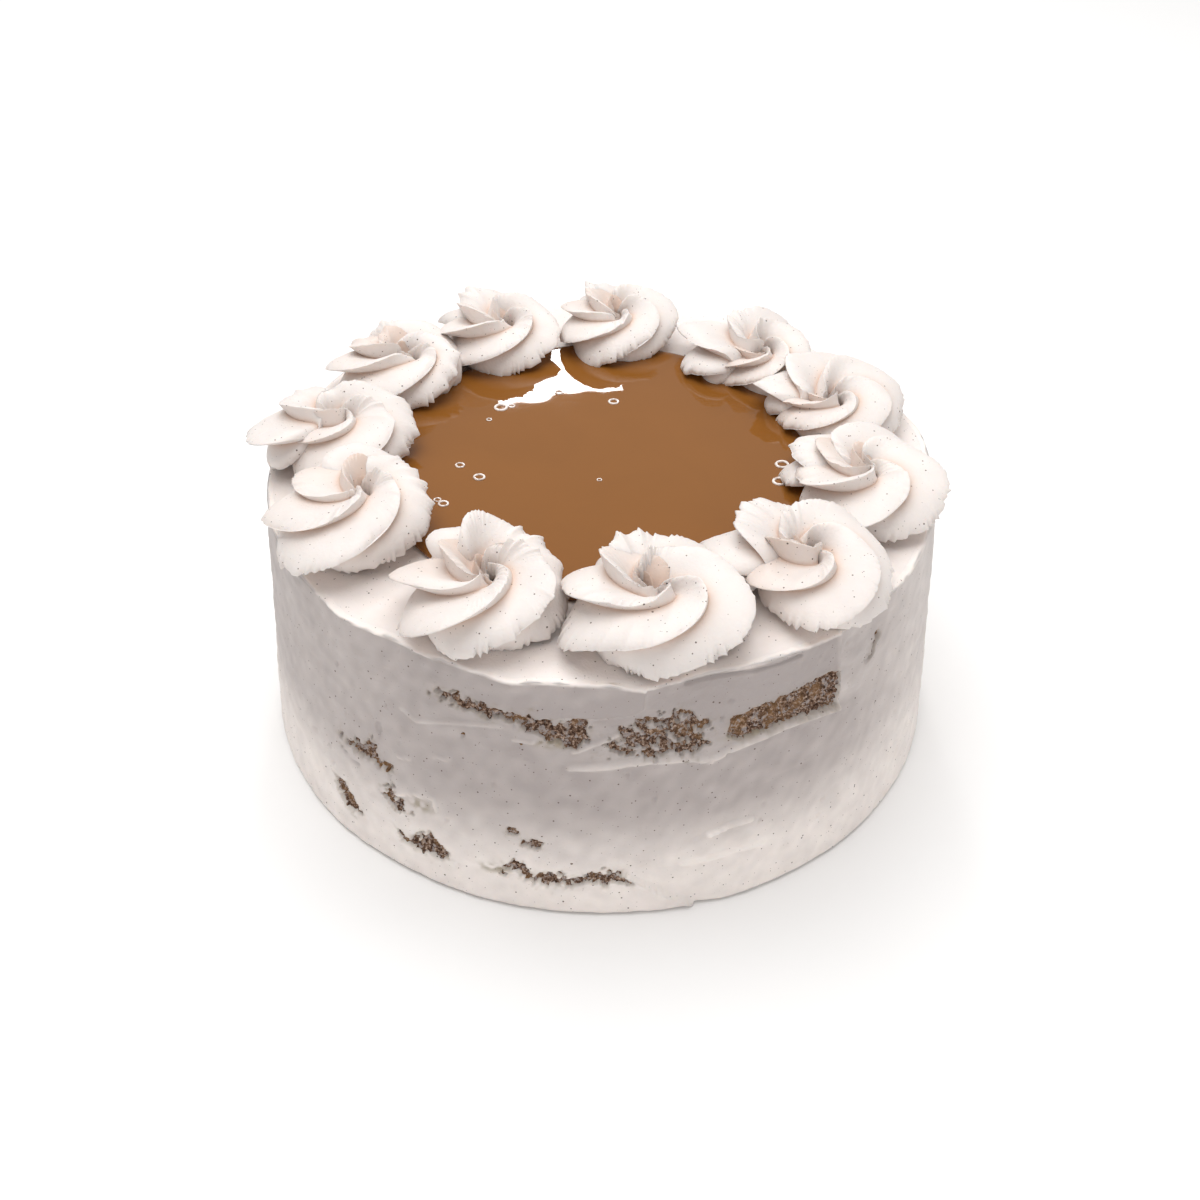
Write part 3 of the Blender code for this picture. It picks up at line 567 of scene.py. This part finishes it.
def streak_depth(azimuth, z, places):
    """Millimetres inside the nearest bare streak: above 0 on crumb, below 0 on cream.

    Relief about 3 mm and 1.3 mm across tears each streak's outline.
    """
    places = places * np.array([0.7, 0.7, 1.0])
    rough, fine = ripples(places, 3.2 * MM, 31), ripples(places, 1.3 * MM, 32)
    azimuth, z = np.broadcast_arrays(azimuth, z)
    deepest = np.full(azimuth.shape, -99.0)
    for tear, stations in STREAKS:
        azimuths, middles, thicknesses = np.array(stations).T
        inside = np.clip(azimuth, azimuths[0], azimuths[-1])
        from_middle = np.abs(z / MM - np.interp(inside, azimuths, middles))
        depth = np.interp(inside, azimuths, thicknesses) / 2 - from_middle
        beyond = np.abs(azimuth - inside) * MM_PER_DEGREE
        depth = np.where(beyond > 0, -np.hypot(beyond, np.maximum(-depth, 0)), depth)
        depth = np.minimum(depth, 2.2 / tear) + tear * (0.75 * rough + 0.5 * fine)
        deepest = np.maximum(deepest, depth)
    return deepest


def cylinder_points(azimuth, radius, z):
    """Points in metres at azimuths in degrees, on radii and heights."""
    angle = azimuth * DEG
    return np.stack([radius * np.cos(angle), radius * np.sin(angle), z + 0 * radius], axis=-1)


def mark_relief(azimuth, z, line, rise, ridge, width):
    """Millimetres that one scraper mark adds: its step and its ridge at the line's nearest piece."""
    nearest = np.full(azimuth.shape, 99.0)
    left = np.zeros(azimuth.shape)
    for (start_azimuth, start_z), (end_azimuth, end_z) in zip(line, line[1:]):
        run = (end_azimuth - start_azimuth) * MM_PER_DEGREE
        climb = end_z - start_z
        along = (azimuth - start_azimuth) * MM_PER_DEGREE
        up = z / MM - start_z
        length = math.hypot(run, climb)
        share = np.clip((along * run + up * climb) / length ** 2, 0, 1)
        away = np.hypot(along - share * run, up - share * climb)
        closer = away < nearest
        nearest = np.where(closer, away, nearest)
        left = np.where(closer, (run * up - climb * along) / length, left)
    step = rise * smooth(left / width + 0.5) * np.clip(1 - nearest / MARK_REACH, 0, 1)
    crest = ridge * np.exp(-((left + 0.5 * width) / width) ** 2)
    return np.array([step, crest * np.clip(1.6 - nearest / (1.5 * width), 0, 1)])


def marks_relief(azimuth, z):
    """Steps and ridges in mm of all the scraper marks and of the one upright corner."""
    azimuth, z = np.broadcast_arrays(azimuth, z)
    steps, ridges = sum(mark_relief(azimuth, z, *mark) for mark in SCRAPER_MARKS)
    corner = np.interp(z / MM, CORNER_HEIGHTS, CORNER_AZIMUTHS)
    past = (azimuth - corner) * MM_PER_DEGREE
    stop = np.clip((z / MM - CORNER_FOOT) / 4, 0, 1)
    fade = np.clip(1 - past / CORNER_FADE, 0, 1) * stop
    steps = steps - CORNER_STEP * smooth(past / CORNER_WIDTH) * fade
    return steps, ridges + CORNER_RIDGE * np.exp(-((past + 0.6) / CORNER_WIDTH) ** 2) * stop


def pit_relief(places):
    """Small air holes that the scraper opened, as dents about 0.6 mm deep."""
    field = ripples(places, 5.5 * MM, 51)
    return -0.6 * smooth((field - 2.35) / 0.5)


def top_relief(points):
    """Millimetres of relief on the flat top: faint turns of the palette knife."""
    return relief(points * np.array([1, 1, 0]), TOP_WAVES)


def side_grid():
    """Azimuths in degrees round the side, closer in front, and the heights of its rows."""
    sizes = bpy.context.scene.cake_sizes
    azimuth = np.concatenate([
        np.linspace(FINE_FROM, FINE_TO, FINE_COLUMNS, endpoint=False),
        np.linspace(FINE_TO, FINE_FROM + 360, OTHER_COLUMNS, endpoint=False)])
    bands, low = [], sizes.coat_lift
    for high, rows in SIDE_BANDS:
        bands.append(np.linspace(low, high * MM, rows, endpoint=False))
        low = high * MM
    bands.append(np.linspace(low, sizes.cake_height - sizes.rim_round, RIM_ROWS))
    return (azimuth[None] + 180) % 360 - 180, np.concatenate(bands)[:, None]


def thin_and_shade_share(azimuth, z):
    """Share of grey in the scraped cream, part thin cream and part painted shade: it grows with height as
    painted shade, is painted lighter in the lit sectors and paler just past the upright corner, and painted
    darker in the shaded places.
    """
    up = z / MM
    # painted shade: greyer up the side, where less light comes up from the table, besides thinner cream
    share = FOOT_GREY_SHADE + UPPER_GREY_SHADE * smooth((up - GREY_FROM) / GREY_OVER)
    past = azimuth - CORNER_AZIMUTHS[1]
    corner = smooth(past / CORNER_WIDTH) * np.clip(1 - past / 40, 0, 1)
    share = share * (1 - 0.15 * corner * smooth((up - 56) / 8))
    # painted light: the side is lighter in these sectors
    for start, fade_in, end, fade_out, lit_share in LIT_SECTORS:
        share = share * (1 - lit_share * smooth((azimuth - start) / fade_in)
                         * smooth((end - azimuth) / fade_out))
    # painted shade: darker patches high on the side
    for centre, middle, half_width, half_height, darker in SHADED_PLACES:
        across, high = (azimuth - centre) / half_width, (up - middle) / half_height
        share = share + darker * np.exp(-across ** 2 - high ** 2)
    return share


def stain_share(azimuth, z, places, depth):
    """Share of crumb colour in the cream: close round the bare streaks and in the thin places."""
    near = np.exp(-(np.clip(-depth, 0, 9) / 1.1) ** 2)
    patches = 0
    for centre, middle, half_width, half_height in THIN_PLACES:
        across = (azimuth - centre) * MM_PER_DEGREE / half_width
        up = (z / MM - middle) / half_height
        patches = patches + np.exp(-(across ** 2 + up ** 2) ** 1.5)
    patches = patches * smooth(0.8 + 0.5 * ripples(places, 3.0 * MM, 82))
    return np.clip(0.35 * near + 0.75 * patches, 0, 0.8)


def make_cream_side():
    """Thick ring: the scraped side, the rounded rim, a ledge under the top and a plain inner wall.

    Columns run round the cake, finer at the front. Rows follow the section: up the side, round the
    rim by a quarter circle, in along the top, and back down the inside.
    """
    sizes = bpy.context.scene.cake_sizes
    height, rounding = sizes.cake_height, sizes.rim_round
    azimuth, z_side = side_grid()
    radius = side_radius(azimuth, z_side)
    places = cylinder_points(azimuth, radius, z_side)
    depth = streak_depth(azimuth, z_side, places)
    steps, ridges = marks_relief(azimuth, z_side)
    raised = relief(places, SCRAPED_WAVES) + steps + ridges + pit_relief(places)
    dip = -CREAM_DIP * smooth((depth + 0.5) / 1.0) + 0.18 * np.exp(-((depth + 1.0) / 0.7) ** 2)
    foot = smooth(1 - (z_side - sizes.coat_lift) / (1.2 * MM))
    radius = radius + (raised + dip - 0.8 * foot) * MM

    turn = np.linspace(0, math.pi / 2, 6)[1:, None]
    rim_places = cylinder_points(azimuth, sizes.top_radius + 0 * azimuth, height)
    edge = radius[-1:] + relief(rim_places, RIM_WAVES) * MM * np.sin(2 * turn)
    rim_radius = edge - rounding * (1 - np.cos(turn))
    rim_z = height - rounding * (1 - np.sin(turn)) + 0 * azimuth
    rim = cylinder_points(azimuth, rim_radius, rim_z)
    rim_z = rim_z + top_relief(rim) * MM * smooth(turn / math.pi * 4 - 1)

    inward = np.array([1.0, 2.5, 4.5, 7.0])[:, None] * MM
    ledge_radius = rim_radius[-1:] - inward
    ledge = cylinder_points(azimuth, ledge_radius, height)
    ledge_z = height + top_relief(ledge) * MM
    ledge_z = ledge_z - 0.5 * MM * smooth((inward - 1.0 * MM) / (4 * MM))

    inner_radius = np.array([sizes.top_radius - 2 * MM, sizes.top_radius, sizes.foot_radius])
    inner_radius = inner_radius[:, None] - sizes.side_coat + 0 * azimuth
    inside = height - sizes.top_coat
    inner_z = np.array([inside, inside, sizes.coat_lift])[:, None] + 0 * azimuth
    radius = np.concatenate([radius, rim_radius, ledge_radius, inner_radius])
    z_rows = np.concatenate([z_side + 0 * azimuth, rim_z, ledge_z, inner_z])
    points = cylinder_points(azimuth, radius, z_rows)

    # per vertex: grey of thin cream and painted shade, and the crumb stain
    thin_and_shade, stain = np.zeros((2, *points.shape[:2]))
    rows = len(z_side)
    # painted highlight and shade that make the scraper marks show: lighter on the ridges, lighter or greyer
    # by each step, over a random mottle
    cloud = relief(places, GREY_WAVES) + 0.12 * steps - 0.5 * ridges
    thin_and_shade[:rows] = np.clip(thin_and_shade_share(azimuth, z_side) + cloud, 0, 1)
    thin_and_shade[rows:rows + len(turn)] = thin_and_shade[rows - 1:rows] * np.clip(1 - turn / math.pi * 4, 0, 1)
    stain[:rows] = stain_share(azimuth, z_side, places, depth)
    shade = colours()
    material = cream_material(
        "scraped cream coat", shade.cream, 0.6, True,
        (("thin_cream_and_shade", shade.thin_cream_and_shade), ("crumb_stain", shade.stain)))
    return new_piece("scraped_cream_side", [ring_body(points)], material, ["cream_coat"],
                     {"thin_cream_and_shade": thin_and_shade, "crumb_stain": stain})


def make_cream_top():
    """Disc of cream: rows are circles from the middle out over a dropped edge to the underside."""
    sizes = bpy.context.scene.cake_sizes
    azimuth = np.linspace(-180, 180, 420, endpoint=False)[None]
    joint = sizes.top_radius - sizes.rim_round - 1.0 * MM
    radius = np.concatenate([np.linspace(2, 60, 6), np.linspace(62, joint / MM, 34),
                             joint / MM + np.array([1.0, 2.0])])[:, None] * MM
    local_joint = joint + rim_bulge(azimuth, sizes.cake_height)
    stretch = 1 + (local_joint / joint - 1) * smooth((radius - 80 * MM) / (22 * MM))
    flat = cylinder_points(azimuth, radius * stretch, sizes.cake_height)
    z = sizes.cake_height + top_relief(flat) * MM
    z = z - 0.45 * MM * smooth((radius - joint) / (2 * MM))
    upper = np.stack([flat[..., 0], flat[..., 1], z], axis=-1)
    under = cylinder_points(azimuth, np.array([joint, 20 * MM])[:, None] + 0 * azimuth,
                            sizes.cake_height - 1.5 * MM)
    points = np.concatenate([upper, under])
    body = capped_body(points, (0, 0, z[0].mean()), (0, 0, sizes.cake_height - 1.5 * MM))
    return new_piece("cream_top", [body],
                     cream_material("spread cream top", colours().top_cream, 0.55),
                     ["cream_coat"])


def crumb_pad(stations):
    """Closed patch of bare crumb: a front of torn crumb relief, its border drawn back to a point."""
    azimuths, middles, thicknesses = np.array(stations).T
    aside = CRUMB_MARGIN / MM_PER_DEGREE
    start, end = azimuths[0] - aside, azimuths[-1] + aside
    low = (middles - thicknesses / 2).min() - CRUMB_MARGIN
    high = (middles + thicknesses / 2).max() + CRUMB_MARGIN
    azimuth = np.linspace(start, end, int((end - start) * MM_PER_DEGREE * MM / CRUMB_CELL))[None]
    z = np.linspace(max(low, 1.0), high, int((high - low) * MM / CRUMB_CELL))[:, None] * MM
    radius = side_radius(azimuth, z)
    places = cylinder_points(azimuth, radius, z)
    radius = radius + marks_relief(azimuth, z)[0] * MM
    pores = -0.5 * smooth(ripples(places, 2.6 * MM, 93) - 1.0)
    torn = relief(places, CRUMB_WAVES) + pores - CRUMB_RECESS
    front = cylinder_points(azimuth, radius + torn * MM, z)
    rows, columns = front.shape[:2]
    grid = np.arange(rows * columns).reshape(rows, columns)
    border = np.concatenate([grid[0], grid[1:, -1], grid[-1, -2::-1], grid[-2:0:-1, 0]])
    vertices = front.reshape(-1, 3)
    skirt = vertices[border].copy()
    skirt[:, :2] *= CRUMB_ROOT
    tip = skirt.mean(axis=0)
    quads = grid_faces(rows, columns, wrap_columns=False)
    index = rows * columns + np.arange(len(border))
    after = np.roll(index, -1)
    walls = np.stack([np.roll(border, -1), border, index, after], axis=-1)
    fan = np.stack([after, index, np.full(len(border), rows * columns + len(border))], axis=-1)
    return np.concatenate([vertices, skirt, [tip]]), np.concatenate([quads, walls]), fan


def make_sponge():
    """Plain tapered drum inside the cream, with a patch of torn crumb at each bare streak."""
    sizes = bpy.context.scene.cake_sizes
    azimuth = np.linspace(-180, 180, 180, endpoint=False)[None]
    foot = sizes.foot_radius - sizes.side_coat - 0.5 * MM
    top = sizes.top_radius - sizes.side_coat - 0.5 * MM
    radius = np.array([0.5 * foot, foot - 1 * MM, foot, top, top - 1 * MM, 0.5 * top])[:, None]
    roof = sizes.cake_height - sizes.top_coat
    z = np.array([0, 0, 1 * MM, roof - 1 * MM, roof, roof])[:, None]
    drum = capped_body(cylinder_points(azimuth, radius + 0 * azimuth, z), (0, 0, 0), (0, 0, roof))
    pads = [crumb_pad(stations) for _, stations in STREAKS]
    return new_piece("sponge_crumb", [drum, *pads], sponge_material(), ["sponge"])


def make_caramel():
    """Level pool: circles out to a wavy outline with a rounded edge, and a flat underside.

    Burst bubbles stand on it as small rings, each a circle carried round a flattened circle.
    """
    sizes = bpy.context.scene.cake_sizes
    level = GLAZE_HIGH.z
    azimuth = np.linspace(-180, 180, 240, endpoint=False)[None]
    share = np.concatenate([np.linspace(0.03, 0.975, 42), [0.99, 1.0, 0.99, 0.5]])[:, None]
    outline = sizes.pool_radius * (
        1 + 0.008 * np.sin(5 * azimuth * DEG) + 0.006 * np.sin(8 * azimuth * DEG + 1))
    drop = np.concatenate([np.zeros(42), [0.15, 0.6, 1.0, 1.0]])[:, None] * (level - GLAZE_LOW.z)
    flat = cylinder_points(azimuth, share * outline, level)
    away = [np.hypot(flat[..., 0] / MM - x, flat[..., 1] / MM - y) / size for x, y, size in WRINKLES]
    wrinkled = np.exp(-np.array(away) ** 4).sum(axis=0)
    swell = relief(flat, CARAMEL_WAVES) + 0.03 * wrinkled * ripples(flat, 5 * MM, 103)
    flat[..., 2] = level - drop + swell * MM * (drop == 0)
    pool = capped_body(flat, (0, 0, level), (0, 0, GLAZE_LOW.z))
    rings = []
    around = np.linspace(0, 2 * math.pi, 28, endpoint=False)[:, None]
    section = np.linspace(0, 2 * math.pi, 10, endpoint=False)[None]
    for x, y, size in BUBBLES:
        wall = BUBBLE_WALL * size
        reach = size + wall * np.cos(section)
        rings.append(ring_body(np.stack([
            x + reach * np.cos(around), y + 0.92 * reach * np.sin(around),
            level / MM + 0.12 + wall * np.sin(section) + 0 * around], axis=-1) * MM))
    new_piece("caramel_pool", [pool], caramel_material(), ["caramel_glaze"])
    return new_piece("caramel_bubbles", rings, bubble_material(), ["caramel_glaze"])


def quarter_circle(x):
    """Rises from 0 at 0 to 1 at 1, steeply at first, as a quarter of a circle does."""
    return np.sqrt(np.clip(1 - (1 - np.clip(x, 0, 1)) ** 2, 0, 1))


def nozzle_path(rosette, rng):
    """Spiral of the nozzle in mm: it starts in the hollow, swings out to a loop and stops there.

    The rope on it is small in the curl, thinner on the side that the hollow leans to, and rounded
    off at both ends by quarter circles.
    """
    step = np.linspace(0, 1, ROPE_ROWS)[:, None]
    angle = rosette.end * DEG - 2 * math.pi * rosette.turns * (1 - step)
    loop = rosette.loop * rosette.width / 2
    rope = rosette.width / 2 - loop
    swing = smooth(step * rosette.turns / CURL_TURNS)
    wave = rng.uniform(0, 2 * math.pi, 3)
    reach = CURL_START + (loop - CURL_START) * swing
    reach = reach * (1 + 0.05 * np.sin(2 * angle + wave[0]) * swing)
    lean_x, lean_y = rosette.lean
    x = reach * np.cos(angle) + lean_x * (1 - 0.75 * swing)
    y = reach * np.sin(angle) + lean_y * (1 - 0.75 * swing)
    run_x, run_y = np.gradient(x[:, 0])[:, None], np.gradient(y[:, 0])[:, None]
    side = np.unwrap(np.arctan2(run_y, run_x), axis=0) - math.pi / 2
    travelled = np.cumsum(np.hypot(run_x, run_y), axis=0)
    left_over = np.clip((travelled[-1, 0] - travelled) / rosette.taper, 0, 1)

    size = CURL_SIZE + (1 - CURL_SIZE) * swing
    size = size * (1 + 0.06 * np.sin(1.7 * angle + wave[1]))
    toward_lean = (lean_x * np.cos(angle) + lean_y * np.sin(angle)) / rope
    size = size * (1 - 0.6 * toward_lean * swing)
    ends = quarter_circle(travelled / OPENING) * quarter_circle(left_over)
    last_turn = step * rosette.turns > rosette.turns - 1
    return Path(x, y, side, travelled, left_over, swing, rope, rope * size, ends, last_turn)


def star_points(rosette, rng):
    """Outline of the nozzle's star: each point steep and undercut outside, gently hollow inside.

    A point's depth is 1 at its crest and falls by a power of the way to the valley; the crest is
    pressed down to a blunt lip. Strength and place differ from point to point.
    """
    place = np.arange(STAR_POINTS * POINT_COLUMNS) / POINT_COLUMNS
    between = place - np.floor(place)
    between = 0.375 * (1 - np.cos(math.pi * between)) + 0.25 * between
    steep = np.clip(1 - between / STEEP_SIDE, 0, 1)
    gentle = np.clip((between - STEEP_SIDE) / (1 - STEEP_SIDE), 0, 1)
    crest = steep ** 1.4 + gentle ** rosette.blade
    crest = crest / (1 + (crest / LIP_START) ** 12) ** (1 / 12) / LIP_START
    turn = np.floor(place) + between
    strength, shift = (
        np.interp(turn, np.arange(STAR_POINTS + 1), np.append(of_point, of_point[0]))
        for of_point in (rng.uniform(-0.25, 0.25, STAR_POINTS), rng.uniform(-0.12, 0.12, STAR_POINTS)))
    compass = (turn + shift) / STAR_POINTS * 2 * math.pi + rosette.phase * DEG
    owner = np.floor(place + 0.5).astype(int) % STAR_POINTS
    return Star(crest * (1 + strength), np.maximum(steep, gentle), steep ** 0.8 + gentle ** 3, compass, owner)


def torn_edges(rosette, rng, path, star, turned):
    """Millimetres that the crests gain and lose: saw teeth, ruffles and a rough skin.

    The teeth are stronger where the ruffles are, along stretches of each crest, and on the crests
    that stand free of the rope's underside.
    """
    travelled = path.travelled
    phase = rng.uniform(0, 40, STAR_POINTS)[star.owner]
    saw = travelled / 1.6 + phase + 0.6 * np.sin(travelled / 2.1 + phase)
    saw = saw + 0.5 * np.sin(travelled / 0.9 + 2 * phase)
    ruffle = 0
    for direction, depth in rosette.rags:
        aside = np.abs((path.side / DEG - direction + 180) % 360 - 180)
        ruffle = ruffle + depth * smooth(2 - aside / RAG_SPREAD) * path.last_turn
    stands = np.abs((turned / DEG + 25 + 180) % 360 - 180)
    torn = 0.5 * np.clip(np.sin(travelled / 8.5 + 3 * phase) + 0.15, 0, 1) + 0.4 * ruffle
    torn = torn + 1.4 * smooth(2 - stands / 28)
    tooth_size = rng.uniform(0.1, 1.6, 97)[np.floor(saw).astype(int) % 97]
    on_edge = np.clip((star.nearness - 0.6) / 0.4, 0, 1) ** 2
    teeth = (saw - np.floor(saw) - 0.5) * tooth_size * torn * on_edge
    folds = np.abs(np.sin(travelled / 1.5 + phase + 0.8 * np.sin(travelled / 2.9 + phase)))
    teeth = teeth + ruffle * (0.36 - folds) * star.nearness ** 2.5
    rough = rng.normal(size=(ROPE_ROWS + 8, STAR_POINTS))
    rough = np.stack([np.convolve(column, EDGE_BLUR, "same")[4:-4] for column in rough.T], axis=1)
    return teeth + 0.22 * rough[:, star.owner] * star.nearness ** 8


def piped_body(rosette):
    """Rosette piped with a star nozzle that hardly turns while it moves along a spiral.

    At each step of the path the section is the star, laid over so that its trailing side is on top:
    a point of the star at compass angle a stands in the section at the angle (twist times heading -
    90 degrees - a), so each point draws a crest that winds over the rope into the hollow. The crests
    waver, hang over and tear. Also gives each vertex's share of painted shade, deep in the grooves
    and in the hollow.
    """
    rng = np.random.default_rng(rosette.seed)
    path = nozzle_path(rosette, rng)
    star = star_points(rosette, rng)
    side, swing = path.side, path.swing
    turned = side[-1] + (side - side[-1]) * rosette.twist - star.compass[None]
    deeper = 1 + rosette.deep * np.cos(side - 170 * DEG)
    waver_phase = rng.uniform(0, 2 * math.pi, (2, STAR_POINTS))
    waver = 0.30 * np.sin(path.travelled / 5.2 + waver_phase[0][star.owner])
    waver = waver + 0.18 * np.sin(path.travelled / 2.3 + 3 * waver_phase[1][star.owner])
    section = (1 - rosette.valley) * star.crest * deeper * (1 + waver * star.nearness ** 2)
    section = rosette.valley + section + torn_edges(rosette, rng, path, star, turned) / path.rope
    section = section * path.ends
    turned = turned - UNDERCUT * star.overhang * deeper

    tall = rosette.curl + (1 - rosette.curl) * swing
    across = path.width * section * np.cos(turned)
    x = path.x + across * np.cos(side)
    y = path.y + across * np.sin(side)
    centre = CENTRE_HEIGHT * rosette.height * tall + rosette.lift * (1 - path.left_over) ** 2
    z = np.maximum(centre + rosette.height / 2 * tall * section * np.sin(turned), 0)
    spread = rosette.width / (0.5 * (np.ptp(x) + np.ptp(y)))
    x = (x - 0.5 * (x.max() + x.min())) * spread + rosette.ring * math.cos(rosette.azimuth * DEG)
    y = (y - 0.5 * (y.max() + y.min())) * spread + rosette.ring * math.sin(rosette.azimuth * DEG)
    base = bpy.context.scene.cake_sizes.cake_height - SINK
    surface = np.stack([x * MM, y * MM, z * MM + base], axis=-1)
    # painted shade: strongest between the crests and in the curl's hollow, and on the end caps
    groove_shade = np.maximum(0.85 * (1 - star.nearness) ** 4 + 0 * section, 0.65 * (1 - swing))[1:-1]
    body = capped_body(surface[1:-1], surface[0].mean(axis=0), surface[-1].mean(axis=0))
    return body, np.append(groove_shade.ravel(), (0.6, 0.2))


def make_rosettes():
    """The ring of rosettes, each its own piece in the one cream."""
    shade = colours()
    # painted shade in the grooves, as a layer of the piped cream
    material = cream_material("piped cream", shade.piped_cream, 0.5,
                              layers=(("groove_shade", shade.groove_shade),))
    for index, rosette in enumerate(ROSETTES):
        name = "rosette_%02d" % (index + 1)
        body, groove_shade = piped_body(rosette)
        new_piece("piped_" + name, [body], material, [name], {"groove_shade": groove_shade})


def make_camera():
    """Camera that looks down at the cake as in the photograph."""
    data = bpy.data.cameras.new("camera")
    data.lens, data.sensor_width = LENS, SENSOR
    camera = bpy.data.objects.new("camera", data)
    bpy.context.scene.collection.objects.link(camera)
    camera.location = CAMERA_PLACE
    camera.rotation_euler = [angle * DEG for angle in CAMERA_TURN]
    bpy.context.scene.camera = camera


def add_softbox(name, place, target, width, height, power, roll=0.0):
    data = bpy.data.lights.new(name, "AREA")
    data.shape = "RECTANGLE"
    data.size, data.size_y, data.energy = width, height, power
    lamp = bpy.data.objects.new(name, data)
    bpy.context.scene.collection.objects.link(lamp)
    lamp.location = place
    aim = (Vector(target) - Vector(place)).to_track_quat("-Z", "Y").to_matrix()
    lamp.rotation_euler = (aim @ Matrix.Rotation(roll, 3, "Z")).to_euler()


def make_stage():
    """White floor under an even white sky, one big softbox overhead and a small bright window."""
    scene = bpy.context.scene
    scene.view_settings.view_transform = "Standard"
    mesh = bpy.data.meshes.new("studio_floor")
    corners = [(x * FLOOR_REACH, y * FLOOR_REACH, 0) for x, y in ((-1, -1), (1, -1), (1, 1), (-1, 1))]
    mesh.from_pydata(corners, [], [(0, 1, 2, 3)])
    floor = bpy.data.objects.new("studio_floor", mesh)
    scene.collection.objects.link(floor)
    paint = {"Base Color": opaque(colours().floor), "Roughness": 0.9}
    mesh.materials.append(new_material("matt studio floor", paint)[0])
    world = bpy.data.worlds.new("studio sky")
    world.use_nodes = True
    sky = world.node_tree.nodes["Background"]
    sky.inputs["Color"].default_value = (1.0, 1.0, 1.0, 1.0)
    sky.inputs["Strength"].default_value = 0.52
    scene.world = world
    add_softbox("overhead softbox", (-0.12, 0.14, 1.25), (0, 0, 0.09), 1.2, 1.2, 14.8)
    add_softbox("low front softbox", (0.35, -1.2, 0.35), (0, 0, 0.02), 1.6, 0.5, 3)
    add_softbox("window", (-0.075, 1.5, 0.846), (0, 0, 0.846), 0.18, 0.305, 3.3, 0.1)
    make_camera()


class CAKE_OT_sponge(Operator):
    """Make the sponge with its bare crumb"""
    bl_idname = "cake.sponge"
    bl_label = "Sponge"

    def execute(self, context):
        make_sponge()
        return {"FINISHED"}


class CAKE_OT_coat(Operator):
    """Make the scraped cream on the side and the top"""
    bl_idname = "cake.coat"
    bl_label = "Cream coat"

    def execute(self, context):
        make_cream_side()
        make_cream_top()
        return {"FINISHED"}


class CAKE_OT_caramel(Operator):
    """Pour the caramel pool with its bubbles"""
    bl_idname = "cake.caramel"
    bl_label = "Caramel"

    def execute(self, context):
        make_caramel()
        return {"FINISHED"}


class CAKE_OT_rosettes(Operator):
    """Pipe the ring of rosettes"""
    bl_idname = "cake.rosettes"
    bl_label = "Rosettes"

    def execute(self, context):
        make_rosettes()
        return {"FINISHED"}


class CAKE_OT_stage(Operator):
    """Set the floor, the lights and the camera"""
    bl_idname = "cake.stage"
    bl_label = "Studio"

    def execute(self, context):
        make_stage()
        return {"FINISHED"}


class CAKE_PT_panel(Panel):
    """Buttons for each part of the cake"""
    bl_idname = "CAKE_PT_panel"
    bl_label = "Cream cake"
    bl_space_type = "VIEW_3D"
    bl_region_type = "UI"
    bl_category = "Cake"

    def draw(self, context):
        for group in (context.scene.cake_sizes, context.scene.cake_colours):
            for name in group.bl_rna.properties.keys():
                if name not in ("rna_type", "name"):
                    self.layout.prop(group, name)
        for operator in OPERATORS:
            self.layout.operator(operator.bl_idname)


OPERATORS = (CAKE_OT_sponge, CAKE_OT_coat, CAKE_OT_caramel, CAKE_OT_rosettes, CAKE_OT_stage)
CLASSES = (CakeSizes, CakeColours, *OPERATORS, CAKE_PT_panel)


def register():
    for item in CLASSES:
        bpy.utils.register_class(item)
    bpy.types.Scene.cake_sizes = PointerProperty(type=CakeSizes)
    bpy.types.Scene.cake_colours = PointerProperty(type=CakeColours)


def unregister():
    del bpy.types.Scene.cake_colours
    del bpy.types.Scene.cake_sizes
    for item in reversed(CLASSES):
        bpy.utils.unregister_class(item)


def main():
    register()
    bpy.ops.cake.sponge()
    bpy.ops.cake.coat()
    bpy.ops.cake.caramel()
    bpy.ops.cake.rosettes()
    bpy.ops.cake.stage()


if __name__ == "__main__":
    main()
